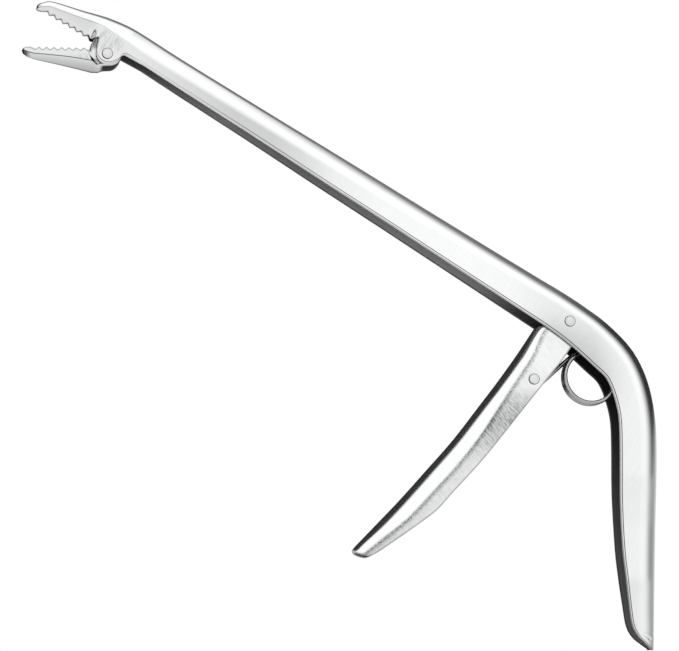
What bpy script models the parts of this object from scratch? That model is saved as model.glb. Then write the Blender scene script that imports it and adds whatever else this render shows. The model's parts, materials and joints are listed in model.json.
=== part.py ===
"""Long-nose hook remover with a pistol-grip trigger, built from folded sheet.

Lengths are millimetres, scaled to metres when a mesh is made. X runs from the
jaws to the handle, Z is up and Y runs across the sheet-metal channels.
Points are (x, z) from the trigger pivot; the finished pieces are then shifted
together so that the middle of the whole tool is the world origin.

A folded piece is drawn by two lines in side view: its crown (the outside of
the fold) and its edge (the free edges of the two walls).
"""

import math
from typing import NamedTuple

import bmesh
import bpy
from mathutils import Matrix, Vector

for item in list(bpy.data.objects):
    bpy.data.objects.remove(item)
PARTS = bpy.data.collections.new("hook_remover")
CUTTERS = bpy.data.collections.new("cutters")
for group in (PARTS, CUTTERS):
    bpy.context.scene.collection.children.link(group)

MM = 0.001

# ---- driving dimensions -------------------------------------------------
SHIFT = Vector((74.6 * MM, 0, 2.98 * MM))  # trigger pivot to world origin, in metres
SHEET = 1.0  # sheet thickness of every folded piece
TRIGGER_PIVOT = (0.0, 0.0)
JAW_PIVOT = (-152.1, 82.5)
SPRING_POST = (-12.0, -19.3)

# half widths across Y
FRONT_HALF = 4.6  # channel at the jaw pivot
BACK_HALF = 6.0  # channel at the trigger pivot and on the handle
TOOTH_HALF = 1.06  # both jaws, whose walls are pinched together along the teeth
CHEEK_HALF = 2.8  # lower jaw's cheeks, inside the ears
TRIGGER_TOP_HALF = 4.5  # trigger ears, inside the channel
TRIGGER_GRIP_HALF = 5.7
TRIGGER_TIP_HALF = 4.0

EAR_RADIUS = 3.4  # lobe of the channel round the jaw pivot
TRIGGER_EAR_RADIUS = 3.75
TOOTH_COUNT = 7
TOOTH_DEPTH = 0.78

# linkage: both cranks carry their pin through the same chord
BARREL_ANGLE = math.radians(31.3)  # rise of the barrel from handle to jaws
TRIGGER_SQUEEZE = math.radians(26.0)
JAW_CLOSE = math.radians(27.5)
TRIGGER_CRANK = 4.3
JAW_CRANK = TRIGGER_CRANK * math.sin(TRIGGER_SQUEEZE / 2) / math.sin(JAW_CLOSE / 2)
TRIGGER_REST = BARREL_ANGLE + TRIGGER_SQUEEZE / 2
JAW_REST = BARREL_ANGLE - JAW_CLOSE / 2
REAR_PIN = (-TRIGGER_CRANK * math.sin(TRIGGER_REST), -TRIGGER_CRANK * math.cos(TRIGGER_REST))
FRONT_PIN = (
    JAW_PIVOT[0] + JAW_CRANK * math.sin(JAW_REST),
    JAW_PIVOT[1] + JAW_CRANK * math.cos(JAW_REST),
)

FIT = 0.06  # radial gap between a rivet or pin and its hole
RIVET_SHANK = 1.45
RIVET_HOLE = RIVET_SHANK + FIT
PIN_RADIUS = 0.9
PIN_HOLE = PIN_RADIUS + FIT

# ---- mesh resolution ----------------------------------------------------
WALL_ROWS = 2
ARC_STEPS = 5  # facets in each quarter of a fold
TOOTH_SAMPLES = 6
ROUND_STEPS = 32
COIL_STEPS_PER_TURN = 30
ROD_BEVEL = 3
SPRING_BEVEL = 2
SHARP_ANGLE = math.radians(32)

# reach of the cutters on each side of the middle plane
DRILL_HALF = 9
EYE_DRILL_HALF = 4
OUTLINE_HALF = 12

# ---- outlines in side view (x, z) ---------------------------------------
# crown line of the main channel: upper jaw, barrel, bend, handle
CROWN = [
    (-174.7, 97.3), (-174.4, 98.3), (-173.45, 99.3), (-171.7, 99.85), (-168.85, 99.65),
    (-165.95, 98.95), (-159.25, 97.1), (-155.3, 96.15), (-151.15, 95.05), (-144.5, 92.55),
    (-139.3, 89.75), (-129.85, 84.0), (-99.85, 66.7), (-70.3, 49.8), (-39.8, 32.2),
    (-9.8, 15.05), (-0.6, 9.9), (6.75, 5.3), (13.9, 0.2), (22.0, -7.95),
    (26.4, -16.15), (28.75, -24.45), (29.8, -32.75), (30.0, -41.0), (29.85, -49.2),
    (29.3, -65.6), (28.7, -90.0), (28.55, -98.1), (28.4, -106.0),
]  # fmt: skip
# edge points at the tip of the upper jaw, and the crown points they pair with
UPPER_NOSE = [(-174.45, 96.95), (-173.8, 96.55), (-172.7, 96.4), (-171.6, 96.4)]
UPPER_NOSE_CROWN = CROWN[:2] + [(-173.5, 99.25), (-172.4, 99.7)]
UPPER_TEETH = ((-171.0, 96.55), (-155.55, 87.85))  # first and last notch
# edge on the jaw side and on the handle side of the lobe's arc
EAR_FRONT = [(-154.75, 87.95), (-154.95, 87.0), (-155.25, 85.4)]
EAR_BACK = [(-149.3, 80.1), (-148.5, 80.8), (-147.9, 81.5), (-147.3, 82.0), (-146.5, 82.3)]
EAR_ARC = range(172, 290, 13)  # degrees
BARREL_EDGE = [
    (-139.8, 78.9), (-128.4, 71.9), (-105.5, 58.1), (-82.5, 43.9), (-59.5, 29.9),
    (-36.5, 15.7), (-13.3, 1.4),
]  # fmt: skip
HANDLE_EDGE = [
    (-8.0, -1.9), (-3.4, -5.0), (0.4, -7.9), (4.2, -11.1), (8.0, -14.5), (11.8, -17.9),
    (13.1, -20.1), (14.1, -22.6), (15.3, -26.6), (16.0, -30.0), (16.3, -33.6), (16.4, -41.8),
    (16.35, -50.0), (16.4, -58.1), (17.2, -74.3), (18.1, -82.4), (19.1, -90.4), (20.1, -97.4),
    (20.7, -99.3), (21.6, -100.8), (22.8, -102.3), (24.3, -103.5), (25.6, -104.6),
    (26.5, -105.3), (26.8, -105.8),
]  # fmt: skip

# lower jaw: crown line underneath, toothed edge on top
LOWER_CROWN = [
    (-179.2, 83.3), (-178.8, 82.3), (-177.4, 81.3), (-174.3, 80.45), (-168.3, 79.35),
    (-161.9, 78.1), (-158.3, 77.35), (-156.2, 76.9), (-155.1, 76.8),
]  # fmt: skip
LOWER_NOSE = [(-178.9, 83.9), (-178.0, 84.35), (-176.6, 84.5), (-175.4, 84.1)]
LOWER_NOSE_CROWN = LOWER_CROWN[:2] + [(-177.6, 81.45), (-176.0, 80.9)]
LOWER_TEETH = ((-174.95, 83.75), (-158.0, 84.15))  # first and last notch
# pairs of (crown point, edge point) round the knuckle behind the teeth
KNUCKLE = [
    ((-154.5, 77.0), (-157.25, 83.5)), ((-153.9, 77.25), (-156.95, 85.2)),
    ((-153.3, 77.5), (-156.4, 87.0)), ((-152.6, 77.65), (-155.2, 88.4)),
    ((-151.9, 77.7), (-153.4, 89.2)), ((-151.1, 77.75), (-151.3, 89.3)),
    ((-150.3, 77.85), (-149.5, 88.5)), ((-149.4, 78.2), (-148.4, 87.0)),
    ((-148.6, 78.8), (-147.5, 85.2)), ((-147.9, 79.7), (-147.2, 83.6)),
    ((-147.45, 80.8), (-147.1, 82.7)),
]  # fmt: skip

# trigger: crown line on the jaw side, open edge on the handle side
TRIGGER_CROWN = [
    (-2.5, 10.2), (-8.6, 1.1), (-12.0, -4.1), (-16.8, -11.3), (-23.2, -20.2),
    (-28.7, -27.4), (-37.8, -39.2), (-47.1, -49.8), (-55.3, -59.0), (-62.4, -66.5),
    (-67.0, -71.3), (-70.4, -74.9), (-71.0, -75.7),
]  # fmt: skip
TRIGGER_EDGE = [
    (9.2, 3.6), (4.6, -2.9), (0.8, -8.3), (-2.6, -13.2), (-5.6, -16.8), (-8.3, -20.2),
    (-13.6, -26.8), (-19.2, -33.9), (-29.1, -46.1), (-39.2, -57.2), (-44.4, -62.9),
    (-50.4, -67.5), (-56.1, -71.6), (-60.7, -74.8), (-64.0, -77.0), (-66.1, -77.8),
    (-68.2, -77.4), (-69.8, -76.9),
]  # fmt: skip
# the trigger is trimmed to its ear arc above and these corners below
TRIGGER_EAR_ARC = range(-40, 201, 10)  # degrees
TRIGGER_KEEP = [(-14.0, -1.9), (-110.0, -60.0), (-110.0, -110.0), (10.0, -110.0), (10.0, -12.0)]

# ---- sections -----------------------------------------------------------
# The crease is where the rounded fold meets the wall. "Half" is half width
# there, "fold" is depth from crown to crease. Rows are (x, value), or for the
# handle and trigger (depth below the trigger pivot, value).
BODY_HALF = [
    (-174.7, 1.3), (-173.5, 1.5), (-171.0, 1.8), (-163.0, 2.8), (-157.0, 3.9), (-152.0, 4.85),
    (-146.0, 4.95), (-139.0, 4.82), (-100.0, 5.22), (-70.0, 5.42), (-55.0, 5.53), (-40.0, 5.68),
    (-10.0, BACK_HALF),
]  # fmt: skip
BODY_EDGE_HALF = [(-140.0, FRONT_HALF), (-10.0, BACK_HALF)]  # at the free edges
HANDLE_HALF = [
    (0.0, BACK_HALF), (50.0, BACK_HALF), (58.0, 5.6), (66.0, 5.3), (84.0, 5.1), (90.0, 4.6),
    (98.0, 4.1), (102.0, 3.8), (106.0, 3.2),
]  # fmt: skip
BODY_FOLD = [
    (-174.7, 0.9), (-171.7, 1.9), (-166.6, 2.55), (-160.9, 3.0), (-157.0, 3.35), (-154.5, 3.7),
    (-152.0, 4.25), (-148.4, 5.1), (-144.8, 5.8), (-139.5, 6.3), (-124.0, 6.1), (-60.0, 6.1),
    (-12.0, 5.5), (10.0, 5.5), (22.0, 6.3),
]  # fmt: skip
TRIGGER_FOLD = [
    (3.0, 2.6), (9.0, 3.8), (19.0, 4.2), (33.0, 5.5), (46.0, 6.0), (62.0, 5.6), (75.0, 3.4),
]  # fmt: skip
JAW_HALF = [(-179.2, 1.3), (-177.0, 1.65), (-167.0, 2.8), (-158.0, 4.0)]
JAW_FOLD = [
    (-179.2, 0.5), (-176.8, 1.15), (-172.0, 1.85), (-167.2, 2.3), (-162.4, 2.85), (-158.0, 3.3),
]  # fmt: skip
CHEEK_FOLD = 2.2
MIN_FOLD = 0.25
JAW_TILT = 20.0  # degrees the lower jaw's underside already leans at its crease

# how far the channel is hollowed at the first stations of each jaw, from the tip
UPPER_NOSE_OPENNESS = (0.04, 0.05, 0.2, 0.5)
LOWER_NOSE_OPENNESS = (0.05, 0.05, 0.1, 0.3, 0.6)
TRIGGER_TIP_OPENNESS = 0.06

# spans over which a section changes: x, or for the trigger depth below its pivot
UPPER_SPREAD_X = (-158.4, -155.0)  # edges spread from the teeth to the ears
BODY_LEAN_X = (-152.0, -140.0)
CHEEK_STEP_X = (-158.0, -157.0)  # lower jaw section steps in to the cheeks
LOWER_SPREAD_X = (-158.6, -157.0)
JAW_RAKE_X = (-168.0, -158.0)
TRIGGER_SPREAD = (3.0, 13.0)  # ears widen to the grip
TRIGGER_NARROWING = (66.0, 75.7)
TRIGGER_CLOSING = (71.0, 75.0)
HANDLE_START_X = 10  # edge x beyond which the handle's widths apply

# exponents that curve a wall between its crease and its free edge
BODY_FRONT_LEAN = 2.2
BODY_BACK_LEAN = 1.5
JAW_LEAN = 1.3
TRIGGER_LEAN = 1.4
JAW_RAKE = 2.9  # most that a crown point runs ahead of its edge point
TRIGGER_EDGE_INSET = 0.3  # grip walls lean in by this at the free edge
NOTCH_MARGIN = 0.1  # x margin past the end notches


# ---- curve helpers ------------------------------------------------------
def lerp(a, b, t):
    return a + (b - a) * t


def clamp(t):
    return min(max(t, 0.0), 1.0)


def ramp(x, span, a, b):
    """Smooth step from a to b as x crosses the span."""
    t = clamp((x - span[0]) / (span[1] - span[0]))
    return lerp(a, b, t * t * (3 - 2 * t))


def table(x, rows):
    """Straight-line reading of (x, value) rows."""
    for (x0, v0), (x1, v1) in zip(rows, rows[1:]):
        if x <= x1:
            return lerp(v0, v1, max((x - x0) / (x1 - x0), 0.0))
    return rows[-1][1]


def dist(a, b):
    return math.hypot(a[0] - b[0], a[1] - b[1])


def between(a, b, t):
    return (lerp(a[0], b[0], t), lerp(a[1], b[1], t))


def arc_points(centre, radius, degrees):
    return [
        (centre[0] + radius * math.cos(a), centre[1] + radius * math.sin(a))
        for a in map(math.radians, degrees)
    ]


def blend(a, b, ta, tb, t):
    """The value at t on the line that is a at ta and b at tb."""
    return a * ((tb - t) / (tb - ta)) + b * ((t - ta) / (tb - ta))


def spline(points, step):
    """Centripetal Catmull-Rom through the points, sampled about every step."""
    pts = [Vector(p) for p in points]
    pts = [pts[0] * 2 - pts[1]] + pts + [pts[-1] * 2 - pts[-2]]
    out = []
    for p0, p1, p2, p3 in zip(pts, pts[1:], pts[2:], pts[3:]):
        t0 = 0.0
        t1 = t0 + math.sqrt((p1 - p0).length)
        t2 = t1 + math.sqrt((p2 - p1).length)
        t3 = t2 + math.sqrt((p3 - p2).length)
        count = max(1, round((p2 - p1).length / step))
        for k in range(count):
            t = lerp(t1, t2, k / count)
            a1 = blend(p0, p1, t0, t1, t)
            a2 = blend(p1, p2, t1, t2, t)
            a3 = blend(p2, p3, t2, t3, t)
            b1 = blend(a1, a2, t0, t2, t)
            b2 = blend(a2, a3, t1, t3, t)
            out.append(tuple(blend(b1, b2, t1, t2, t)))
    out.append(tuple(pts[-2]))
    return out


def resample(line, step):
    """Points about every step along a polyline, its own corners kept."""
    out = [line[0]]
    for a, b in zip(line, line[1:]):
        count = max(1, round(dist(a, b) / step))
        out += [between(a, b, k / count) for k in range(1, count + 1)]
    return out


def tip_normal(notches, side):
    """Unit vector from the notch line to the tooth tips; side is +1 for teeth that point up."""
    (x0, z0), (x1, z1) = notches
    length = dist(*notches)
    return (z0 - z1) / length * side, (x1 - x0) / length * side


def teeth(notches, side):
    """Rounded teeth between the first and last notch."""
    first, last = notches
    length = dist(first, last)
    along_x, along_z = (last[0] - first[0]) / length, (last[1] - first[1]) / length
    normal_x, normal_z = tip_normal(notches, side)
    out = []
    for k in range(TOOTH_COUNT * TOOTH_SAMPLES + 1):
        u = k / TOOTH_SAMPLES
        h = TOOTH_DEPTH * (0.5 - 0.5 * math.cos(2 * math.pi * u))
        s = u / TOOTH_COUNT * length
        out.append((first[0] + along_x * s + normal_x * h, first[1] + along_z * s + normal_z * h))
    return out


def feet(edge, crown):
    """For each edge point, the nearest point of the crown line, always moving forward."""
    out = []
    nearest = 0
    for e in edge:
        nearest = min(range(nearest, len(crown)), key=lambda i: dist(e, crown[i]))
        a, b = crown[max(nearest - 1, 0)], crown[min(nearest + 1, len(crown) - 1)]
        dot = (e[0] - a[0]) * (b[0] - a[0]) + (e[1] - a[1]) * (b[1] - a[1])
        out.append(between(a, b, clamp(dot / dist(a, b) ** 2)))
    return out


# ---- stations along each folded piece -----------------------------------
class Station(NamedTuple):
    crown: tuple
    edge: tuple
    half: float  # half width at the crease
    fold: float  # depth from crown to crease
    openness: float  # 1 for a full hollow, near 0 for an almost solid section
    edge_half: float  # half width at the free edge
    tilt: float  # degrees the fold leans at the crease
    lean: float  # exponent of the wall's curve
    full: float  # depth at which the wall would reach edge_half


def full_depth(crown, edge, notches, side):
    """Depth from crown to the line of tooth tips, for an edge point lying inside a notch."""
    (x0, z0), (x1, _) = notches
    normal_x, normal_z = tip_normal(notches, side)

    def short(p):
        """Distance from p to the line of tips."""
        return TOOTH_DEPTH - (p[0] - x0) * normal_x - (p[1] - z0) * normal_z

    depth = dist(crown, edge)
    if x0 - NOTCH_MARGIN < edge[0] < x1 + NOTCH_MARGIN and short(edge) > 0:
        return depth * short(crown) / (short(crown) - short(edge))
    return depth


def nose_openness(k, values):
    return values[k] if k < len(values) else 1.0


def body_station(k, crown, edge):
    if edge[0] > HANDLE_START_X:
        half, edge_half = table(-crown[1], HANDLE_HALF), table(-edge[1], HANDLE_HALF)
    else:
        half = table(crown[0], BODY_HALF)
        barrel_half = table(edge[0], BODY_EDGE_HALF)
        edge_half = ramp(edge[0], UPPER_SPREAD_X, TOOTH_HALF, barrel_half)
    return Station(
        crown, edge, half,
        fold=table(crown[0], BODY_FOLD),
        openness=nose_openness(k, UPPER_NOSE_OPENNESS),
        edge_half=edge_half,
        tilt=0.0,
        lean=ramp(crown[0], BODY_LEAN_X, BODY_FRONT_LEAN, BODY_BACK_LEAN),
        full=full_depth(crown, edge, UPPER_TEETH, -1),
    )  # fmt: skip


def jaw_station(k, crown, edge):
    step = ramp(edge[0], CHEEK_STEP_X, 0.0, 1.0)
    return Station(
        crown, edge,
        half=lerp(table(edge[0], JAW_HALF), CHEEK_HALF, step),
        fold=lerp(table(edge[0], JAW_FOLD), CHEEK_FOLD, step),
        openness=nose_openness(k, LOWER_NOSE_OPENNESS),
        edge_half=ramp(edge[0], LOWER_SPREAD_X, TOOTH_HALF, CHEEK_HALF),
        tilt=lerp(JAW_TILT, 0.0, step),
        lean=JAW_LEAN,
        full=full_depth(crown, edge, LOWER_TEETH, +1),
    )  # fmt: skip


def trigger_station(crown, edge):
    below = -crown[1]
    half = ramp(below, TRIGGER_SPREAD, TRIGGER_TOP_HALF, TRIGGER_GRIP_HALF)
    half = ramp(below, TRIGGER_NARROWING, half, TRIGGER_TIP_HALF)
    return Station(
        crown, edge, half,
        fold=table(below, TRIGGER_FOLD),
        openness=ramp(below, TRIGGER_CLOSING, 1.0, TRIGGER_TIP_OPENNESS),
        edge_half=half - ramp(below, TRIGGER_SPREAD, 0.0, TRIGGER_EDGE_INSET),
        tilt=0.0,
        lean=TRIGGER_LEAN,
        full=dist(crown, edge),
    )  # fmt: skip


def rake(foot, edge_x, crown):
    """Slide a foot along the crown line, further the nearer it is to the knuckle."""
    x = foot[0] + ramp(edge_x, JAW_RAKE_X, 0.0, JAW_RAKE)
    for a, b in zip(crown, crown[1:]):
        if b[0] >= x:
            return between(a, b, clamp((x - a[0]) / (b[0] - a[0])))
    return (x, foot[1])


# ---- folded channel -----------------------------------------------------
def half_profile(station, inset, apex):
    """(y, depth) from the free edge to the apex on one side: a wall, then an elliptical fold.

    A notch ends the wall short of the depth where it would reach its edge half width.
    """
    half = station.half - inset
    fold = max(station.fold - inset, MIN_FOLD)
    edge_half = station.edge_half - inset
    depth = dist(station.crown, station.edge)
    crease = apex + fold
    tilt_sine = math.sin(math.radians(station.tilt))
    points = []
    steps = ARC_STEPS
    if depth > crease + 0.05:
        for k in range(WALL_ROWS):
            q = lerp(depth, crease, k / WALL_ROWS)
            t = max(station.full - q, 0.0) / (station.full - crease)
            points.append((edge_half + (half - edge_half) * t**station.lean, q))
        start = math.asin(tilt_sine)
    else:
        # too shallow for a wall: the fold alone takes all the rows
        sine = tilt_sine + (crease - depth) / fold * (1 - tilt_sine)
        start = math.asin(min(max(sine, tilt_sine), 0.97))
        steps += WALL_ROWS
    for k in range(steps + 1):
        a = lerp(start, math.pi / 2, k / steps)
        y = half * math.cos(a) / math.sqrt(1 - tilt_sine * tilt_sine)
        points.append((y, crease - fold * (math.sin(a) - tilt_sine) / (1 - tilt_sine)))
    return points


def section_ring(station):
    """Closed loop of points in metres: the outer skin, then the inner skin back again."""
    crown, edge = station.crown, station.edge
    depth = dist(crown, edge)
    down_x, down_z = (edge[0] - crown[0]) / depth, (edge[1] - crown[1]) / depth
    outer = half_profile(station, 0.0, 0.0)
    inner = half_profile(station, SHEET, min(SHEET, depth - 0.2))
    inner = [(y, depth - (depth - q) * station.openness) for y, q in inner]
    loop = [(-y, q) for y, q in outer] + [(y, q) for y, q in reversed(outer)]
    loop += [(y, q) for y, q in inner] + [(-y, q) for y, q in reversed(inner)]
    return [((crown[0] + down_x * q) * MM, y * MM, (crown[1] + down_z * q) * MM) for y, q in loop]


def channel(name, stations):
    """Closed skin through the folded sections."""
    mesh = bmesh.new()
    rings = [[mesh.verts.new(point) for point in section_ring(s)] for s in stations]
    n = len(rings[0])
    for a, b in zip(rings, rings[1:]):
        for k in range(n):
            mesh.faces.new((a[k], a[(k + 1) % n], b[(k + 1) % n], b[k]))
    # each end is closed by strips between the outer and inner halves of its ring
    for ring, flip in ((rings[0], False), (rings[-1], True)):
        for k in range(n // 2 - 1):
            quad = (ring[k + 1], ring[k], ring[n - 1 - k], ring[n - 2 - k])
            mesh.faces.new(quad[::-1] if flip else quad)
    bmesh.ops.recalc_face_normals(mesh, faces=mesh.faces)
    return new_object(name, mesh)


# ---- primitives and booleans -------------------------------------------
def new_object(name, mesh, collection=PARTS):
    data = bpy.data.meshes.new(name)
    mesh.to_mesh(data)
    mesh.free()
    obj = bpy.data.objects.new(name, data)
    collection.objects.link(obj)
    return obj


def cylinder(name, centre, radius, half, collection=PARTS):
    """Solid cylinder along Y, reaching half to each side of the middle plane."""
    mesh = bmesh.new()
    bmesh.ops.create_cone(
        mesh,
        cap_ends=True,
        segments=ROUND_STEPS,
        radius1=radius * MM,
        radius2=radius * MM,
        depth=2 * half * MM,
    )
    bmesh.ops.rotate(mesh, verts=mesh.verts, matrix=Matrix.Rotation(math.radians(90), 3, "X"))
    bmesh.ops.translate(mesh, verts=mesh.verts, vec=(centre[0] * MM, 0, centre[1] * MM))
    return new_object(name, mesh, collection)


def turned(name, centre, profile, closed=False):
    """Profile of (radius, y) pairs turned round an axis along Y through centre."""
    mesh = bmesh.new()
    points = [mesh.verts.new((radius * MM, 0, y * MM)) for radius, y in profile]
    for a, b in zip(points, points[1:] + points[:1] if closed else points[1:]):
        mesh.edges.new((a, b))
    obj = new_object(name, mesh)
    screw = obj.modifiers.new("turn", "SCREW")
    screw.axis = "Z"
    screw.steps = screw.render_steps = ROUND_STEPS
    screw.use_merge_vertices = True
    screw.merge_threshold = 0.00001
    screw.use_smooth_shade = True
    # the profile's height runs along local Z, which is laid along Y
    obj.rotation_euler = (math.radians(-90), 0, 0)
    obj.location = (centre[0] * MM, 0, centre[1] * MM)
    return obj


def new_curve(name, dimensions, points, cyclic=False):
    """An object holding one polyline through 3-D points."""
    curve = bpy.data.curves.new(name + "_line", "CURVE")
    curve.dimensions = dimensions
    line = curve.splines.new("POLY")
    line.points.add(len(points) - 1)
    line.use_cyclic_u = cyclic
    for point, (x, y, z) in zip(line.points, points):
        point.co = (x * MM, y * MM, z * MM, 1)
    guide = bpy.data.objects.new(name + "_line", curve)
    PARTS.objects.link(guide)
    return guide


def welded(data):
    """A bmesh of the data with seams merged and normals outward; the data is removed."""
    mesh = bmesh.new()
    mesh.from_mesh(data)
    bmesh.ops.remove_doubles(mesh, verts=mesh.verts, dist=1e-6)
    bmesh.ops.recalc_face_normals(mesh, faces=mesh.faces)
    bpy.data.meshes.remove(data)
    return mesh


def plate(name, outline, half, collection):
    """A flat side-view outline given a thickness of 2 x half across Y."""
    guide = new_curve(name, "2D", [(x, z, 0) for x, z in outline], cyclic=True)
    guide.data.fill_mode = "BOTH"
    guide.data.extrude = half * MM
    guide.rotation_euler = (math.radians(90), 0, 0)
    bpy.context.view_layer.update()
    placed = guide.matrix_world.copy()
    graph = bpy.context.evaluated_depsgraph_get()
    data = bpy.data.meshes.new_from_object(guide.evaluated_get(graph))
    bpy.data.objects.remove(guide)
    obj = new_object(name, welded(data), collection)
    obj.matrix_world = placed
    return obj


def tube(name, path, radius, resolution):
    """A round wire along 3-D points, its ends closed."""
    guide = new_curve(name, "3D", path)
    guide.data.bevel_depth = radius * MM
    guide.data.bevel_resolution = resolution
    guide.data.use_fill_caps = True
    data = bpy.data.meshes.new_from_object(guide)
    bpy.data.objects.remove(guide)
    return new_object(name, welded(data))


def combine(obj, other, operation):
    modifier = obj.modifiers.new(operation.lower(), "BOOLEAN")
    modifier.operation = operation
    modifier.solver = "EXACT"
    modifier.object = other
    other.hide_render = True
    other.display_type = "WIRE"


def drill(obj, name, centre, radius, half=DRILL_HALF):
    combine(obj, cylinder(name, centre, radius, half, CUTTERS), "DIFFERENCE")


# ---- main channel: upper jaw, barrel and handle in one folded sheet ------
def build_frame():
    ear = EAR_FRONT + arc_points(JAW_PIVOT, EAR_RADIUS, EAR_ARC) + EAR_BACK
    edge = (
        UPPER_NOSE
        + teeth(UPPER_TEETH, -1)
        + ear
        + resample([ear[-1]] + BARREL_EDGE, step=12.0)[1:]
        + spline([BARREL_EDGE[-1]] + HANDLE_EDGE, step=4.0)[1:]
    )
    crown = feet(edge, spline(CROWN, step=0.4))
    crown[: len(UPPER_NOSE_CROWN)] = UPPER_NOSE_CROWN
    stations = [body_station(k, c, e) for k, (c, e) in enumerate(zip(crown, edge))]
    frame = channel("main_channel_body", stations)
    drill(frame, "frame_trigger_hole", TRIGGER_PIVOT, RIVET_HOLE)
    drill(frame, "frame_jaw_hole", JAW_PIVOT, RIVET_HOLE)
    return frame


# ---- lower jaw ----------------------------------------------------------
def build_jaw():
    line = spline(LOWER_CROWN, step=0.3)
    edge = LOWER_NOSE + teeth(LOWER_TEETH, +1)
    crown = [rake(foot, e[0], line) for foot, e in zip(feet(edge, line), edge)]
    crown[: len(LOWER_NOSE_CROWN)] = LOWER_NOSE_CROWN
    pairs = list(zip(crown, edge)) + KNUCKLE
    jaw = channel("lower_jaw", [jaw_station(k, c, e) for k, (c, e) in enumerate(pairs)])
    drill(jaw, "jaw_pivot_hole", JAW_PIVOT, RIVET_HOLE)
    drill(jaw, "jaw_link_hole", FRONT_PIN, PIN_HOLE)
    return jaw


# ---- trigger ------------------------------------------------------------
def build_trigger():
    edge = spline(TRIGGER_EDGE, step=5.0)
    crown = feet(edge, spline(TRIGGER_CROWN, step=0.4))
    crown[-1] = TRIGGER_CROWN[-1]
    trigger = channel("trigger_lever", [trigger_station(c, e) for c, e in zip(crown, edge)])
    keep = arc_points(TRIGGER_PIVOT, TRIGGER_EAR_RADIUS, TRIGGER_EAR_ARC) + TRIGGER_KEEP
    combine(trigger, plate("trigger_ear_outline", keep, OUTLINE_HALF, CUTTERS), "INTERSECT")
    drill(trigger, "trigger_pivot_hole", TRIGGER_PIVOT, RIVET_HOLE)
    drill(trigger, "trigger_post_hole", SPRING_POST, RIVET_HOLE)
    drill(trigger, "trigger_link_hole", REAR_PIN, PIN_HOLE)
    return trigger


# ---- pull rod: bent wire with a flat eye at each end --------------------
ROD_RADIUS = 1.056
EYE_RADIUS = 1.9
EYE_HALF = 1.1
FRONT_EYE_FIT = 0.3  # the front eye is loose on its pin
ROD_START = EYE_RADIUS - 0.5  # the wire's ends lie this far from the pin centres
# (distance along the barrel towards the handle, height towards its fold), from each pin
ROD_FRONT_BEND = [(ROD_START, 0), (3.2, 0.5), (6.4, 2.9), (8.6, 3.3)]
ROD_REAR_BEND = [(-10.2, 3.1), (-8.0, 2.7), (-4.3, 0.4), (-ROD_START, 0)]


def from_pin(pin, along, height):
    cos, sin = math.cos(BARREL_ANGLE), math.sin(BARREL_ANGLE)
    return (pin[0] + cos * along + sin * height, 0.0, pin[1] - sin * along + cos * height)


def build_rod():
    path = [from_pin(FRONT_PIN, *bend) for bend in ROD_FRONT_BEND]
    path += [from_pin(REAR_PIN, *bend) for bend in ROD_REAR_BEND]
    rod = tube("pull_rod", path, ROD_RADIUS, resolution=ROD_BEVEL)
    for name, pin in (("front_eye_blank", FRONT_PIN), ("rear_eye_blank", REAR_PIN)):
        combine(rod, cylinder(name, pin, EYE_RADIUS, EYE_HALF, CUTTERS), "UNION")
    drill(rod, "front_eye_hole", FRONT_PIN, PIN_RADIUS + FRONT_EYE_FIT, EYE_DRILL_HALF)
    drill(rod, "rear_eye_hole", REAR_PIN, PIN_HOLE, EYE_DRILL_HALF)
    return rod


# ---- rivets and sleeves -------------------------------------------------
HEAD_RADIUS = 1.8
HEAD_HEIGHT = 0.35
HEAD_GAP = 0.03  # between the wall and the underside of the head
HEAD_RIM = 0.12  # height of the head's straight side
JAW_RIVET_HALF = FRONT_HALF + 0.09
POST_RIVET_HALF = TRIGGER_GRIP_HALF - 0.07  # the wall leans in below the crease

BUSH_RADIUS = 2.1
BUSH_HALF = TRIGGER_TOP_HALF - SHEET - 0.1
POST_SLEEVE_RADIUS = 1.95
POST_SLEEVE_HALF = TRIGGER_GRIP_HALF - SHEET - 0.4


def rivet(name, centre, half_grip):
    """Shank through both walls with a low domed head outside each."""
    seat = half_grip + HEAD_GAP
    top = seat + HEAD_HEIGHT
    side = [
        (RIVET_SHANK, seat), (HEAD_RADIUS, seat), (HEAD_RADIUS, seat + HEAD_RIM),
        (HEAD_RADIUS * 0.86, top - 0.05), (HEAD_RADIUS * 0.6, top), (0, top + 0.01),
    ]  # fmt: skip
    return turned(name, centre, side[::-1] + [(radius, -y) for radius, y in side])


def sleeve(name, centre, radius, half):
    profile = [(radius, half), (radius, -half), (RIVET_HOLE, -half), (RIVET_HOLE, half)]
    return turned(name, centre, profile, closed=True)


# ---- torsion spring -----------------------------------------------------
COIL_CENTRE = (8.0, -17.4)
COIL_RADIUS = 8.55
WIRE_RADIUS = 0.7
COIL_TURNS = 3
COIL_PITCH = 1.5
COIL_START = math.radians(112)
COIL_END = math.radians(-8) + 2 * math.pi * COIL_TURNS
# legs (x, z): one runs to the coil from the trigger, the other on down the handle
TRIGGER_LEG = [(-15.6, -26.45), (-6.1, -17.95), (-0.5, -12.85), (1.6, -11.0), (3.1, -9.95)]
HANDLE_LEG = [(17.3, -20.5), (18.8, -25.0), (26.4, -46.0)]


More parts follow.
